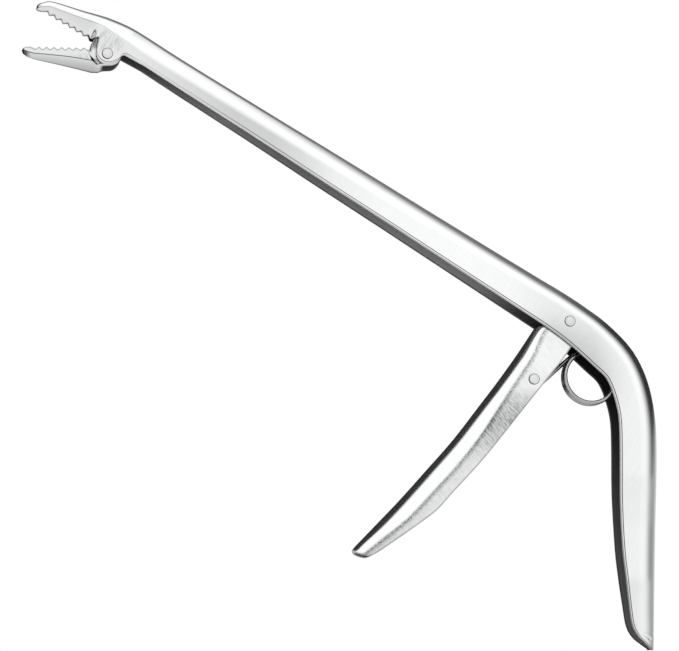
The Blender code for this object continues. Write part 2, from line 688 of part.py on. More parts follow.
def build_spring():
    """The coil winds from the trigger leg on the +Y side to the handle leg on the -Y side."""
    side = COIL_PITCH * (COIL_END - COIL_START) / (2 * math.pi) / 2
    steps = COIL_STEPS_PER_TURN * COIL_TURNS
    wire = [(x, side, z) for x, z in TRIGGER_LEG]
    for k in range(steps + 1):
        a = lerp(COIL_START, COIL_END, k / steps)
        x = COIL_CENTRE[0] + COIL_RADIUS * math.cos(a)
        z = COIL_CENTRE[1] + COIL_RADIUS * math.sin(a)
        wire.append((x, lerp(side, -side, k / steps), z))
    wire += [(x, -side, z) for x, z in HANDLE_LEG]
    return tube("torsion_spring", wire, WIRE_RADIUS, resolution=SPRING_BEVEL)


# ---- finish and joints --------------------------------------------------
def steel(name, colour, roughness):
    material = bpy.data.materials.new(name)
    material.use_nodes = True
    shader = material.node_tree.nodes["Principled BSDF"]
    shader.inputs["Base Color"].default_value = (*colour, 1)
    shader.inputs["Roughness"].default_value = roughness
    shader.inputs["Metallic"].default_value = 1.0
    material.diffuse_color = (*colour, 1)
    return material


def finish(material, *pieces):
    """Give the pieces their material and shading, and shift them to the world origin."""
    for piece in pieces:
        piece.data.materials.append(material)
        piece.data.shade_smooth()
        piece.data.set_sharp_from_angle(angle=SHARP_ANGLE)
        piece.location += SHIFT


def hang(name, pivot, *pieces):
    """Parent a moving group to an empty at the pivot it turns about."""
    axis = bpy.data.objects.new(name, None)
    axis.empty_display_size = 5 * MM
    axis.location = Vector((pivot[0] * MM, 0, pivot[1] * MM)) + SHIFT
    PARTS.objects.link(axis)
    bpy.context.view_layer.update()
    for piece in pieces:
        piece.parent = axis
        piece.matrix_parent_inverse = axis.matrix_world.inverted()


# ---- assembly -----------------------------------------------------------
frame = build_frame()
jaw = build_jaw()
trigger = build_trigger()
rod = build_rod()
jaw_rivet = rivet("jaw_pivot_rivet", JAW_PIVOT, JAW_RIVET_HALF)
trigger_rivet = rivet("trigger_pivot_rivet", TRIGGER_PIVOT, BACK_HALF)
post_rivet = rivet("spring_post_rivet", SPRING_POST, POST_RIVET_HALF)
jaw_pin = cylinder("jaw_link_pin", FRONT_PIN, PIN_RADIUS, CHEEK_HALF)
trigger_pin = cylinder("trigger_link_pin", REAR_PIN, PIN_RADIUS, TRIGGER_TOP_HALF)
bush = sleeve("trigger_pivot_bush", TRIGGER_PIVOT, BUSH_RADIUS, BUSH_HALF)
post_sleeve = sleeve("spring_post_sleeve", SPRING_POST, POST_SLEEVE_RADIUS, POST_SLEEVE_HALF)
spring = build_spring()

finish(steel("polished_sheet", colour=(0.86, 0.87, 0.88), roughness=0.18), frame, jaw)
finish(steel("brushed_sheet", colour=(0.78, 0.79, 0.80), roughness=0.32), trigger)
finish(
    steel("satin_rivet", colour=(0.80, 0.80, 0.80), roughness=0.3),
    jaw_rivet, trigger_rivet, post_rivet, jaw_pin, trigger_pin, bush, post_sleeve,
)  # fmt: skip
finish(steel("spring_wire", colour=(0.42, 0.42, 0.43), roughness=0.3), spring)
finish(steel("plated_rod", colour=(0.6, 0.6, 0.62), roughness=0.35), rod)
for cutter in CUTTERS.objects:
    cutter.location += SHIFT

hang("trigger_axis", TRIGGER_PIVOT, trigger, post_rivet, post_sleeve, trigger_pin)
hang("lower_jaw_axis", JAW_PIVOT, jaw, jaw_pin)
hang("pull_rod_axis", REAR_PIN, rod)
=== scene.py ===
"""Looks of a hook remover: folded sheet body with the upper jaw, lower jaw, trigger, wire and rivets.

The tool stands in the XZ plane. The jaws point to -X at the top, the barrel falls towards +X and the
handle and trigger hang down; Y runs across the sheet walls and the camera stands on the -Y side.
Outlines are in mm, drawn from the trigger pivot, which the frame places in the world.
"""

import json
import math
from collections import namedtuple
from functools import cached_property, partial

import bmesh
import bpy
from mathutils import Matrix, Vector
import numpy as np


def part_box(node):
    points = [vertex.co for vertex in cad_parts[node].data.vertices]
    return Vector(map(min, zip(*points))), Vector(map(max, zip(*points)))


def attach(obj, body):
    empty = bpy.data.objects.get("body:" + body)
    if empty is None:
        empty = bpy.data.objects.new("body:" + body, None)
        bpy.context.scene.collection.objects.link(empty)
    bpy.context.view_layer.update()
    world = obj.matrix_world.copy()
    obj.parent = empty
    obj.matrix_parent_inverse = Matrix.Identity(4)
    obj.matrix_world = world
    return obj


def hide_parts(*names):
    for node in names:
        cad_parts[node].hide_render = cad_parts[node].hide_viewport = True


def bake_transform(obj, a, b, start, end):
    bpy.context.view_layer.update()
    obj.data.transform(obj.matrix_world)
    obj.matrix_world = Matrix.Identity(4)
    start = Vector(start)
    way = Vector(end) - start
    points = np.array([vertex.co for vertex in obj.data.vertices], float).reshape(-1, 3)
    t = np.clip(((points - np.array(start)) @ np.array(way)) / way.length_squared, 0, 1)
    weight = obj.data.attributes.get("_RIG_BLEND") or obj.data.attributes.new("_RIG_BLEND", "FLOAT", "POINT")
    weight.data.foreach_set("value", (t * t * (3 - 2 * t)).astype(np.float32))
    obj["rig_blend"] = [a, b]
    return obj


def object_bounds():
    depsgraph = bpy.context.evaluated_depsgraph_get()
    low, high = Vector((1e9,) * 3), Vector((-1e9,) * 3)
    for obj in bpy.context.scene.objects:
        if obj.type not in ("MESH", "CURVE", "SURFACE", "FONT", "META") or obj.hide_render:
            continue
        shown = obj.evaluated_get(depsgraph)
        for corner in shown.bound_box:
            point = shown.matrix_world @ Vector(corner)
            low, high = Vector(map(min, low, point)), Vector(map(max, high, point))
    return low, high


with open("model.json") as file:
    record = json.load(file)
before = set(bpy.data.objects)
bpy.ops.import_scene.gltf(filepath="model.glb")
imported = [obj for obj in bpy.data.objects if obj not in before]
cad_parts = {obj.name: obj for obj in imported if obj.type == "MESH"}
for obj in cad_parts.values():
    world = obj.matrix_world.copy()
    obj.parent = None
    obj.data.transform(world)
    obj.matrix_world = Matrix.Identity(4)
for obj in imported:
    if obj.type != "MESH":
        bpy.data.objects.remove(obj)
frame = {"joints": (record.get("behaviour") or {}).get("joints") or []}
CAD_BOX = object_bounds()

MM = 0.001

# ---- driving dimensions, mm ----------------------------------------------
SHEET = 1.0  # sheet thickness of every folded piece
EDGE_ROUND = 0.3  # rounding of the sheet's free edges
TRIGGER_PIVOT = (0.0, 0.0)
BARREL_ANGLE = 31.3  # degrees the barrel rises from handle to jaws

FRONT_HALF = 4.6  # half width of the channel at the jaw pivot
BACK_HALF = 6.0  # half width at the trigger pivot and on the handle
TOOTH_HALF = 1.06  # the jaws' two walls are pinched together along the teeth

EAR_RADIUS = 3.4  # lobe of the channel round the jaw pivot
TOOTH_COUNT = 7
TOOTH_DEPTH = 0.78

TRIGGER_TOP_HALF = 4.5  # the trigger ears run inside the channel
TRIGGER_GRIP_HALF = 5.7
TRIGGER_TIP_HALF = 4.0
TRIGGER_EAR_RADIUS = 3.75
CHEEK_HALF = 2.8  # the lower jaw's cheeks run inside the ears
CHEEK_FOLD = 2.2

RIVET_SHANK = 1.45
RIVET_HEAD = 1.8
RIVET_HEAD_HEIGHT = 0.35
RIVET_SEAT_GAP = 0.03  # from the wall to the underside of the head
PIN_RADIUS = 0.9
CHAMFER = 0.12  # on pins and sleeves
FIT = 0.06  # radial gap between a rivet or pin and its hole
ROD_RADIUS = 1.1
EYE_RADIUS = 1.9
EYE_HALF = 1.1
EYE_CHAMFER = 0.25
EYE_OPEN_FIT = 0.3  # the rod's front eye is loose on its pin
BUSH_RADIUS = 2.1
SLEEVE_RADIUS = 1.95

COIL_CENTRE = (8.0, -17.4)
COIL_RADIUS = 8.55
WIRE_RADIUS = 0.7
COIL_TURNS = 3
COIL_PITCH = 1.5

# mesh steps
FOLD_STEPS = 14  # facets in each quarter of a fold
WALL_ROWS = 10
LIP_POINTS = 5
TOOTH_STEPS = 12
TURNED_STEPS = 72
EYE_STEPS = 48
DRILL_STEPS = 64
ROD_SIDES = 16
WIRE_SIDES = 18
END_RINGS = 3  # rings in the dome at each end of a wire

# ---- outlines in side view (x, z) ---------------------------------------
# crown line of the main channel: upper jaw, barrel, bend, handle
CROWN = [
    (-174.7, 97.3), (-174.4, 98.3), (-173.45, 99.3), (-171.7, 99.85), (-168.85, 99.65),
    (-165.95, 98.95), (-159.25, 97.1), (-155.3, 96.15), (-151.15, 95.05), (-144.5, 92.55),
    (-139.3, 89.75), (-129.85, 84.0), (-99.85, 66.7), (-70.3, 49.8), (-39.8, 32.2),
    (-9.8, 15.05), (-0.6, 9.9), (6.75, 5.3), (13.9, 0.2), (22.0, -7.95),
    (26.4, -16.15), (28.75, -24.45), (29.8, -32.75), (30.0, -41.0), (29.85, -49.2),
    (29.3, -65.6), (28.7, -90.0), (28.55, -98.1), (28.4, -106.0),
]
UPPER_NOSE = [(-174.45, 96.95), (-173.8, 96.55), (-172.7, 96.4), (-171.6, 96.4)]
UPPER_NOSE_CROWN = [*CROWN[:2], (-173.5, 99.05), (-172.4, 99.35)]
UPPER_TEETH = ((-171.0, 96.55), (-155.55, 87.85))  # first and last notch
# free edge from the teeth down to the ear round the jaw pivot, and from the ear to the barrel
EAR_FRONT = [(-154.75, 87.95), (-154.95, 87.0), (-155.25, 85.4), (-155.5, 83.6)]
EAR_BACK = [
    (-150.0, 79.75), (-149.3, 80.1), (-148.5, 80.8), (-147.9, 81.5), (-147.3, 82.0), (-146.5, 82.3),
]
BARREL_EDGE = [  # up to the trigger pivot straight, from there on curved
    (-139.8, 78.9), (-128.4, 71.9), (-105.5, 58.1), (-82.5, 43.9), (-59.5, 29.9),
    (-36.5, 15.7), (-13.3, 1.4), (-8.0, -1.9), (-3.4, -5.0), (0.4, -7.9), (4.2, -11.1),
    (8.0, -14.5), (11.8, -17.9), (13.1, -20.1), (14.1, -22.6), (15.3, -26.6),
    (16.0, -30.0), (16.3, -33.6), (16.4, -41.8), (16.35, -50.0), (16.4, -58.1), (17.2, -74.3),
    (18.1, -82.4), (19.1, -90.4), (20.1, -97.4), (20.7, -99.3), (21.6, -100.8),
    (22.8, -102.3), (24.3, -103.5), (25.6, -104.6), (26.5, -105.3), (26.8, -105.8),
]
BARREL_STRAIGHT = 7  # points of BARREL_EDGE joined by straight lines

# lower jaw: crown line underneath, toothed edge on top
LOWER_CROWN = [
    (-179.2, 83.3), (-178.8, 82.3), (-177.4, 81.3), (-174.3, 80.45), (-168.3, 79.35),
    (-161.9, 78.1), (-158.3, 77.35), (-156.2, 76.9), (-155.1, 76.8),
]
LOWER_NOSE = [(-178.9, 83.9), (-178.0, 84.35), (-176.6, 84.5), (-175.4, 84.1)]
LOWER_NOSE_CROWN = [*LOWER_CROWN[:2], (-177.6, 81.45), (-176.0, 80.9)]
LOWER_TEETH = ((-174.95, 83.75), (-158.0, 84.15))
# pairs of (crown point, edge point) round the knuckle behind the teeth
KNUCKLE = [
    ((-154.5, 77.0), (-157.25, 83.5)), ((-153.9, 77.25), (-156.95, 85.2)),
    ((-153.3, 77.5), (-156.4, 87.0)), ((-152.6, 77.65), (-155.2, 88.4)),
    ((-151.9, 77.7), (-153.4, 89.2)), ((-151.1, 77.75), (-151.3, 89.3)),
    ((-150.3, 77.85), (-149.5, 88.5)), ((-149.4, 78.2), (-148.4, 87.0)),
    ((-148.6, 78.8), (-147.5, 85.2)), ((-147.9, 79.7), (-147.2, 83.6)),
    ((-147.45, 80.8), (-147.1, 82.7)),
]

# trigger: crown line towards the jaws, open edge towards the handle
TRIGGER_CROWN = [
    (-2.5, 10.2), (-8.6, 1.1), (-12.0, -4.1), (-16.8, -11.3), (-23.2, -20.2),
    (-28.7, -27.4), (-37.8, -39.2), (-47.1, -49.8), (-55.3, -59.0), (-62.4, -66.5),
    (-67.0, -71.3), (-70.4, -74.9), (-71.0, -75.7),
]
TRIGGER_EDGE = [
    (9.2, 3.6), (4.6, -2.9), (0.8, -8.3), (-2.6, -13.2), (-5.6, -16.8), (-8.3, -20.2),
    (-13.6, -26.8), (-19.2, -33.9), (-29.1, -46.1), (-39.2, -57.2), (-44.4, -62.9), (-50.4, -67.5),
    (-56.1, -71.6), (-60.7, -74.8), (-64.0, -77.0), (-66.1, -77.8), (-68.2, -77.4), (-69.8, -76.9),
]
# corners that close the kept region of the trigger below its round ears
TRIGGER_KEEP = [(-14.0, -1.9), (-110.0, -60.0), (-110.0, -110.0), (10.0, -110.0), (10.0, -12.0)]

# spring wire: leg along the trigger up to the coil, and leg from the coil down the handle
TRIGGER_LEG = [
    (-15.6, -26.45), (-11.0, -22.35), (-6.1, -17.95), (-3.3, -15.4), (-0.5, -12.85),
    (1.6, -11.0), (3.1, -9.95),
]
HANDLE_LEG = [(17.3, -20.5), (18.8, -25.0), (22.6, -35.5), (26.4, -46.0)]

# ---- sections: (x of the crown, value) ----------------------------------
# half width at the crease where the rounded fold meets the wall
BODY_HALF = [
    (-174.7, 1.3), (-173.5, 1.5), (-171.0, 1.8), (-163.0, 2.8), (-157.0, 3.9), (-152.0, 4.85),
    (-146.0, 4.95), (-139.0, 4.82), (-100.0, 5.22), (-70.0, 5.42), (-55.0, 5.53), (-40.0, 5.68),
    (-10.0, BACK_HALF),
]
# the handle narrows towards its end: (depth below the trigger pivot, half width)
HANDLE_HALF = [
    (0.0, BACK_HALF), (50.0, BACK_HALF), (58.0, 5.6), (66.0, 5.3), (84.0, 5.1), (90.0, 4.6),
    (98.0, 4.1), (102.0, 3.8), (106.0, 3.2),
]
# depth of the fold from its crown to that crease
BODY_FOLD = [
    (-174.7, 0.9), (-171.7, 1.9), (-166.6, 2.55), (-160.9, 3.0), (-157.0, 3.35), (-154.5, 3.7),
    (-152.0, 4.25), (-148.4, 5.1), (-144.8, 5.8), (-139.5, 6.3), (-124.0, 6.1), (-60.0, 6.1),
    (-12.0, 5.5), (10.0, 5.5), (22.0, 6.3),
]
# depth of the trigger's rounded crown: (depth below the trigger pivot, crown to crease)
TRIGGER_FOLD = [
    (3.0, 2.6), (9.0, 3.8), (19.0, 4.2), (33.0, 5.5), (46.0, 6.0), (62.0, 5.6), (75.0, 3.4),
]
# lower jaw, by x of the toothed edge
JAW_HALF = [(-179.2, 1.3), (-177.0, 1.65), (-167.0, 2.8), (-158.0, 4.0)]
JAW_FOLD = [
    (-179.2, 0.5), (-176.8, 1.15), (-172.0, 1.85), (-167.2, 2.3), (-162.4, 2.85), (-158.0, 3.3),
]
JAW_TILT = 20.0  # degrees the lower jaw's underside already leans at its crease
# how far the hollow opens at the first stations of each jaw's nose; beyond them it is 1
BODY_NOSE_OPEN = (0.04, 0.05, 0.2, 0.5)
JAW_NOSE_OPEN = (0.05, 0.05, 0.1, 0.3, 0.6)

# ---- places read from the frame -----------------------------------------
joint_at = {joint["name"]: joint["pos_m"] for joint in frame["joints"]}
PIVOT_X = joint_at["trigger_squeeze"][0] / MM
PIVOT_Z = joint_at["trigger_squeeze"][2] / MM


def from_pivot(x, z):
    """World metres to the outlines' millimetres."""
    return (x / MM - PIVOT_X, z / MM - PIVOT_Z)


def joint_place(name):
    return from_pivot(joint_at[name][0], joint_at[name][2])


def node_centre(node):
    low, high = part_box(node)
    return from_pivot((low.x + high.x) / 2, (low.z + high.z) / 2)


JAW_PIVOT = joint_place("jaw_close")
REAR_PIN = joint_place("rod_swing")
SPRING_POST = node_centre("spring_post_rivet")
FRONT_PIN = node_centre("jaw_link_pin")


# ---- curve helpers ------------------------------------------------------
def lerp(start, end, t):
    return start + (end - start) * t


def mix_points(start, end, t):
    return (lerp(start[0], end[0], t), lerp(start[1], end[1], t))


def ramp(x, x0, x1, start, end):
    """Smooth step from start at x0 to end at x1."""
    t = min(max((x - x0) / (x1 - x0), 0.0), 1.0)
    return lerp(start, end, t * t * (3 - 2 * t))


def look_up(x, rows):
    """Straight-line reading of (x, value) rows."""
    for (x0, value0), (x1, value1) in zip(rows, rows[1:]):
        if x <= x1:
            return lerp(value0, value1, max((x - x0) / (x1 - x0), 0.0))
    return rows[-1][1]


def distance(start, end):
    return math.hypot(start[0] - end[0], start[1] - end[1])


# knots blended at each level of the spline's pyramid
SPLINE_LEVELS = (((0, 1), (1, 2), (2, 3)), ((0, 2), (1, 3)), ((1, 2),))


def spline(points, step):
    """Centripetal Catmull-Rom through the points, sampled about every step."""
    points = [Vector(point) for point in points]
    points = [points[0] * 2 - points[1], *points, points[-1] * 2 - points[-2]]
    line = []
    for i in range(1, len(points) - 2):
        four = points[i - 1 : i + 3]
        knots = [0.0]
        for start, end in zip(four, four[1:]):
            knots.append(knots[-1] + math.sqrt((end - start).length))
        count = max(1, round((four[2] - four[1]).length / step))
        for k in range(count):
            t = lerp(knots[1], knots[2], k / count)
            level = four
            for spans in SPLINE_LEVELS:
                level = [
                    level[j] * ((knots[high] - t) / (knots[high] - knots[low]))
                    + level[j + 1] * ((t - knots[low]) / (knots[high] - knots[low]))
                    for j, (low, high) in enumerate(spans)
                ]
            line.append((level[0].x, level[0].y))
    line.append((points[-2].x, points[-2].y))
    return line


def resample(line, step):
    """Points about every step along a polyline, its own corners kept."""
    out = [line[0]]
    for start, end in zip(line, line[1:]):
        count = max(1, round(distance(start, end) / step))
        out += [mix_points(start, end, k / count) for k in range(1, count + 1)]
    return out


def arc(centre, radius, start, step, count):
    """Points on a circle; start and step in degrees."""
    angles = [math.radians(start + step * k) for k in range(count)]
    return [(centre[0] + radius * math.cos(a), centre[1] + radius * math.sin(a)) for a in angles]


def teeth(first, last, side):
    """Rounded teeth between two notches. side is +1 for teeth that point up."""
    length = distance(first, last)
    along_x, shade_along_z = (last[0] - first[0]) / length, (last[1] - first[1]) / length
    out_x, out_z = (-shade_along_z, along_x) if side > 0 else (shade_along_z, -along_x)
    line = []
    for k in range(TOOTH_COUNT * TOOTH_STEPS + 1):
        tooth = k / TOOTH_STEPS
        height = TOOTH_DEPTH * (0.5 - 0.5 * math.cos(2 * math.pi * tooth))
        run = tooth / TOOTH_COUNT * length
        line.append((
            first[0] + along_x * run + out_x * height,
            first[1] + shade_along_z * run + out_z * height,
        ))
    return line


def feet(edge_line, crown_line):
    """For each edge point, the nearest point of the crown line, always moving forward."""
    out = []
    low = 0
    for edge in edge_line:
        best = min(range(low, len(crown_line)), key=lambda i: distance(edge, crown_line[i]))
        start = crown_line[max(best - 1, 0)]
        end = crown_line[min(best + 1, len(crown_line) - 1)]
        run_x, run_z = end[0] - start[0], end[1] - start[1]
        length = distance(start, end) or 1.0
        t = ((edge[0] - start[0]) * run_x + (edge[1] - start[1]) * run_z) / length**2
        out.append(mix_points(start, end, min(max(t, 0.0), 1.0)))
        low = max(low, best)
    return out


# ---- stations along each folded piece -----------------------------------
# crown, edge: points (x, z); half, fold: half width and depth at the crease; openness: how far the
# hollow opens; edge_half: half width at the free edge; tilt: lean of the fold at the crease, degrees;
# lean: power of the wall's curve; full: depth to the line of tooth tips
Station = namedtuple("Station", "crown edge half fold openness edge_half tilt lean full")


def full_depth(crown, edge, notches, side):
    """Depth from crown to the line of tooth tips, for an edge point lying inside a notch."""
    (x0, z0), (x1, z1) = notches
    length = distance(*notches)
    out_x, out_z = (z0 - z1) / length * side, (x1 - x0) / length * side

    def short(point):
        return TOOTH_DEPTH - (point[0] - x0) * out_x - (point[1] - z0) * out_z

    depth = distance(crown, edge)
    if x0 - 0.1 < edge[0] < x1 + 0.1 and short(edge) > 0:
        return depth * short(crown) / (short(crown) - short(edge))
    return depth


def barrel_half(x):
    """Half width of the barrel at its free edges: the channel widens towards the handle."""
    return lerp(FRONT_HALF, BACK_HALF, min(max((x + 140) / 130.0, 0), 1.0))


def handle_half(point):
    return min(look_up(-point[1], HANDLE_HALF), BACK_HALF)


def body_station(index, crown, edge):
    if edge[0] > 10:
        half, edge_half = handle_half(crown), handle_half(edge)
    else:
        half = look_up(crown[0], BODY_HALF)
        edge_half = ramp(edge[0], -158.4, -155.0, TOOTH_HALF, barrel_half(edge[0]))
    return Station(
        crown, edge, half,
        fold=look_up(crown[0], BODY_FOLD),
        openness=BODY_NOSE_OPEN[index] if index < len(BODY_NOSE_OPEN) else 1.0,
        edge_half=edge_half,
        tilt=0.0,
        lean=ramp(crown[0], -152.0, -140.0, 2.2, 1.5),
        full=full_depth(crown, edge, UPPER_TEETH, -1),
    )


def jaw_station(index, crown, edge):
    cheek = ramp(edge[0], -158.0, -157.0, 0.0, 1.0)
    return Station(
        crown, edge,
        half=lerp(look_up(edge[0], JAW_HALF), CHEEK_HALF, cheek),
        fold=lerp(look_up(edge[0], JAW_FOLD), CHEEK_FOLD, cheek),
        openness=JAW_NOSE_OPEN[index] if index < len(JAW_NOSE_OPEN) else 1.0,
        edge_half=ramp(edge[0], -158.6, -157.0, TOOTH_HALF, CHEEK_HALF),
        tilt=lerp(JAW_TILT, 0.0, cheek),
        lean=1.3,
        full=full_depth(crown, edge, LOWER_TEETH, +1),
    )


def trigger_station(crown, edge):
    below = -crown[1]
    half = ramp(below, 3.0, 13.0, TRIGGER_TOP_HALF, TRIGGER_GRIP_HALF)
    half = ramp(below, 66.0, 75.7, half, TRIGGER_TIP_HALF)
    return Station(
        crown, edge, half,
        fold=look_up(below, TRIGGER_FOLD),
        openness=ramp(below, 71.0, 75.0, 1.0, 0.06),
        edge_half=half - ramp(below, 3.0, 13.0, 0.0, 0.3),
        tilt=0.0,
        lean=1.4,
        full=distance(crown, edge),
    )


def raked(edge_line, crown_line):
    """Pairs of crown and edge points; towards the knuckle the crown point runs ahead."""
    pairs = []
    for crown, edge in zip(feet(edge_line, crown_line), edge_line):
        x = crown[0] + ramp(edge[0], -168.0, -158.0, 0.0, 2.9)
        ahead = [(p, q) for p, q in zip(crown_line, crown_line[1:]) if q[0] >= x]
        if ahead:
            start, end = ahead[0]
            t = min(max((x - start[0]) / (end[0] - start[0]), 0.0), 1.0)
            crown = mix_points(start, end, t)
        pairs.append((crown, edge))
    return pairs


# ---- mesh helpers --------------------------------------------------------
OUTER, INNER, RIM = 0, 1, 2  # material slots of a folded piece

# stand in the three slots until the steels are made, so that the Booleans keep each face's slot
PLACES = [bpy.data.materials.new(f"place_{k}") for k in range(3)]


def new_object(name, mesh):
    """A piece from a mesh drawn round the trigger pivot, moved to its place in the frame."""
    bmesh.ops.translate(mesh, verts=mesh.verts, vec=(PIVOT_X * MM, 0, PIVOT_Z * MM))
    data = bpy.data.meshes.new(name)
    mesh.to_mesh(data)
    mesh.free()
    for place in PLACES:
        data.materials.append(place)
    obj = bpy.data.objects.new(name, data)
    bpy.context.scene.collection.objects.link(obj)
    return obj


def half_profile(station, half, fold, edge_half, apex, depth):
    """(y, depth) from the free edge to the crown on one side: a wall, then an elliptical fold."""
    tilt = math.sin(math.radians(station.tilt))
    crease = apex + fold
    steps = FOLD_STEPS
    points = []
    if depth > crease + 0.05:
        for k in range(WALL_ROWS):
            # rows gather near both ends of the wall, close beside the free edge and the crease
            q = lerp(depth, crease, 0.5 - 0.5 * math.cos(math.pi * k / WALL_ROWS))
            t = max(station.full - q, 0.0) / (station.full - crease)
            points.append((edge_half + (half - edge_half) * t**station.lean, q))
        start = math.asin(tilt)
    else:
        share = tilt + (crease - depth) / fold * (1 - tilt)
        start = math.asin(min(max(share, tilt), 0.97))
        steps += WALL_ROWS
    for k in range(steps + 1):
        a = lerp(start, math.pi / 2, k / steps)
        points.append((
            half * math.cos(a) / math.sqrt(1 - tilt * tilt),
            crease - fold * (math.sin(a) - tilt) / (1 - tilt),
        ))
    return points


def section(station, depth, soft):
    """Closed loop of (y, depth, slot) through the sheet, its free edges rounded by soft."""
    reach = depth - soft
    half, fold, edge_half = station.half, station.fold, station.edge_half
    outer = half_profile(station, half, fold, edge_half, 0.0, reach)
    web = min(SHEET, reach - 0.2)
    inner = half_profile(
        station, half - SHEET, max(fold - SHEET, 0.25), edge_half - SHEET, web, reach
    )
    inner = [(y, reach - (reach - q) * station.openness) for y, q in inner]
    y0, y1 = outer[0][0], inner[0][0]
    lip = []
    for k in range(1, LIP_POINTS + 1):
        a = math.pi * k / (LIP_POINTS + 1)
        cosine, sine = math.cos(a), math.sin(a)
        lip.append((
            (y0 + y1) / 2 + (y0 - y1) / 2 * math.copysign(abs(cosine) ** 0.6, cosine),
            reach + soft * sine**0.6,
        ))
    # from the -Y free edge over the crown to the +Y one, round the lip and back inside
    loop = [(-y, q, OUTER) for y, q in outer] + [(y, q, OUTER) for y, q in reversed(outer)]
    loop[-1] = (*loop[-1][:2], RIM)
    loop += [(y, q, RIM) for y, q in lip]
    loop += [(y, q, INNER) for y, q in inner] + [(-y, q, INNER) for y, q in reversed(inner)]
    loop[-1] = (*loop[-1][:2], RIM)
    loop += [(-y, q, RIM) for y, q in reversed(lip)]
    return loop


def close_end(mesh, ring, flip):
    """Closes one end of a channel between the outer and inner halves of its ring."""
    wall = 2 * (WALL_ROWS + FOLD_STEPS + 1)
    inner_start = wall + LIP_POINTS
    outer = ring[:wall]
    inner = ring[inner_start : inner_start + wall][::-1]
    for k in range(wall - 1):
        quad = (outer[k + 1], outer[k], inner[k], inner[k + 1])
        mesh.faces.new(quad[::-1] if flip else quad).material_index = RIM
    near_lip = [ring[0], *ring[inner_start + wall :][::-1], inner[0]]
    far_lip = [outer[-1], *ring[wall:inner_start], inner[-1]]
    mesh.faces.new(near_lip[::-1] if flip else near_lip).material_index = RIM
    mesh.faces.new(far_lip if flip else far_lip[::-1]).material_index = RIM


def channel(name, stations):
    """Closed skin through folded sections with rounded free edges.

    Two numbers are kept on every point for the steel, in mm: "crease", how far it lies below the
    crease, and "rim", how far from the free edge.
    """
    mesh = bmesh.new()
    below = mesh.verts.layers.float.new("crease")
    inward = mesh.verts.layers.float.new("rim")
    rings = []
    for station in stations:
        crown, edge = station.crown, station.edge
        depth = distance(crown, edge)
        down_x, down_z = (edge[0] - crown[0]) / depth, (edge[1] - crown[1]) / depth
        soft = min(EDGE_ROUND, depth * 0.2)
        loop = section(station, depth, soft)
        ring = []
        for y, q, _ in loop:
            place = ((crown[0] + down_x * q) * MM, y * MM, (crown[1] + down_z * q) * MM)
            point = mesh.verts.new(place)
            point[below] = q - station.fold
            point[inward] = max(depth - soft - q, 0.0)
            ring.append(point)
        rings.append(ring)
    slots = [slot for _, _, slot in loop]
    for ring, following in zip(rings, rings[1:]):
        for face, slot in zip(skin(mesh, ring, following), slots):
            face.material_index = slot
    close_end(mesh, rings[0], False)
    close_end(mesh, rings[-1], True)
    bmesh.ops.recalc_face_normals(mesh, faces=mesh.faces)
    return new_object(name, mesh)


def skin(mesh, ring, following):
    """Quads between two closed rings of the same count."""
    count = len(ring)
    return [
        mesh.faces.new((ring[k], ring[(k + 1) % count], following[(k + 1) % count], following[k]))
        for k in range(count)
    ]


def cylinder_cutter(centre, radius, half):
    mesh = bmesh.new()
    bmesh.ops.create_cone(
        mesh, cap_ends=True, segments=DRILL_STEPS,
        radius1=radius * MM, radius2=radius * MM, depth=2 * half * MM,
    )
    bmesh.ops.rotate(mesh, verts=mesh.verts, matrix=Matrix.Rotation(math.radians(90), 3, "X"))
    bmesh.ops.translate(mesh, verts=mesh.verts, vec=(centre[0] * MM, 0.0, centre[1] * MM))
    for face in mesh.faces:
        face.material_index = RIM
    return new_object("cutter", mesh)


def plate_cutter(outline, half):
    mesh = bmesh.new()
    near = [mesh.verts.new((x * MM, -half * MM, z * MM)) for x, z in outline]
    far = [mesh.verts.new((x * MM, half * MM, z * MM)) for x, z in outline]
    mesh.faces.new(near)
    mesh.faces.new(far[::-1])
    skin(mesh, near, far)
    bmesh.ops.recalc_face_normals(mesh, faces=mesh.faces)
    for face in mesh.faces:
        face.material_index = RIM
    return new_object("cutter", mesh)


def boolean_now(obj, cutter, operation):
    """Runs the Boolean and removes the cutter, so that only the finished mesh stays."""
    modifier = obj.modifiers.new("cut", "BOOLEAN")
    modifier.operation = operation
    modifier.solver = "EXACT"
    modifier.object = cutter
    bpy.context.view_layer.update()
    graph = bpy.context.evaluated_depsgraph_get()
    data = bpy.data.meshes.new_from_object(obj.evaluated_get(graph))
    obj.modifiers.clear()
    old = obj.data
    obj.data = data
    bpy.data.meshes.remove(old)
    bpy.data.objects.remove(cutter)


def drill(obj, centre, radius, half=9.0):
    boolean_now(obj, cylinder_cutter(centre, radius, half), "DIFFERENCE")


def turned(name, centre, profile, steps=TURNED_STEPS, closed=False):
    """Profile of (radius, y) pairs spun round an axis along Y through centre."""
    mesh = bmesh.new()
    rings = []
    for radius, y in profile:
        if radius == 0:
            rings.append([mesh.verts.new((centre[0] * MM, y * MM, centre[1] * MM))])
            continue
        rings.append([
            mesh.verts.new((
                (centre[0] + radius * math.cos(2 * math.pi * k / steps)) * MM,
                y * MM,
                (centre[1] + radius * math.sin(2 * math.pi * k / steps)) * MM,
            ))
            for k in range(steps)
        ])
    pairs = list(zip(rings, rings[1:])) + ([(rings[-1], rings[0])] if closed else [])
    for ring, following in pairs:
        for k in range(steps):
            j = (k + 1) % steps
            if len(ring) == 1:
                mesh.faces.new((ring[0], following[k], following[j]))
            elif len(following) == 1:
                mesh.faces.new((ring[k], following[0], ring[j]))
            else:
                mesh.faces.new((ring[k], following[k], following[j], ring[j]))
    bmesh.ops.recalc_face_normals(mesh, faces=mesh.faces)
    return new_object(name, mesh)


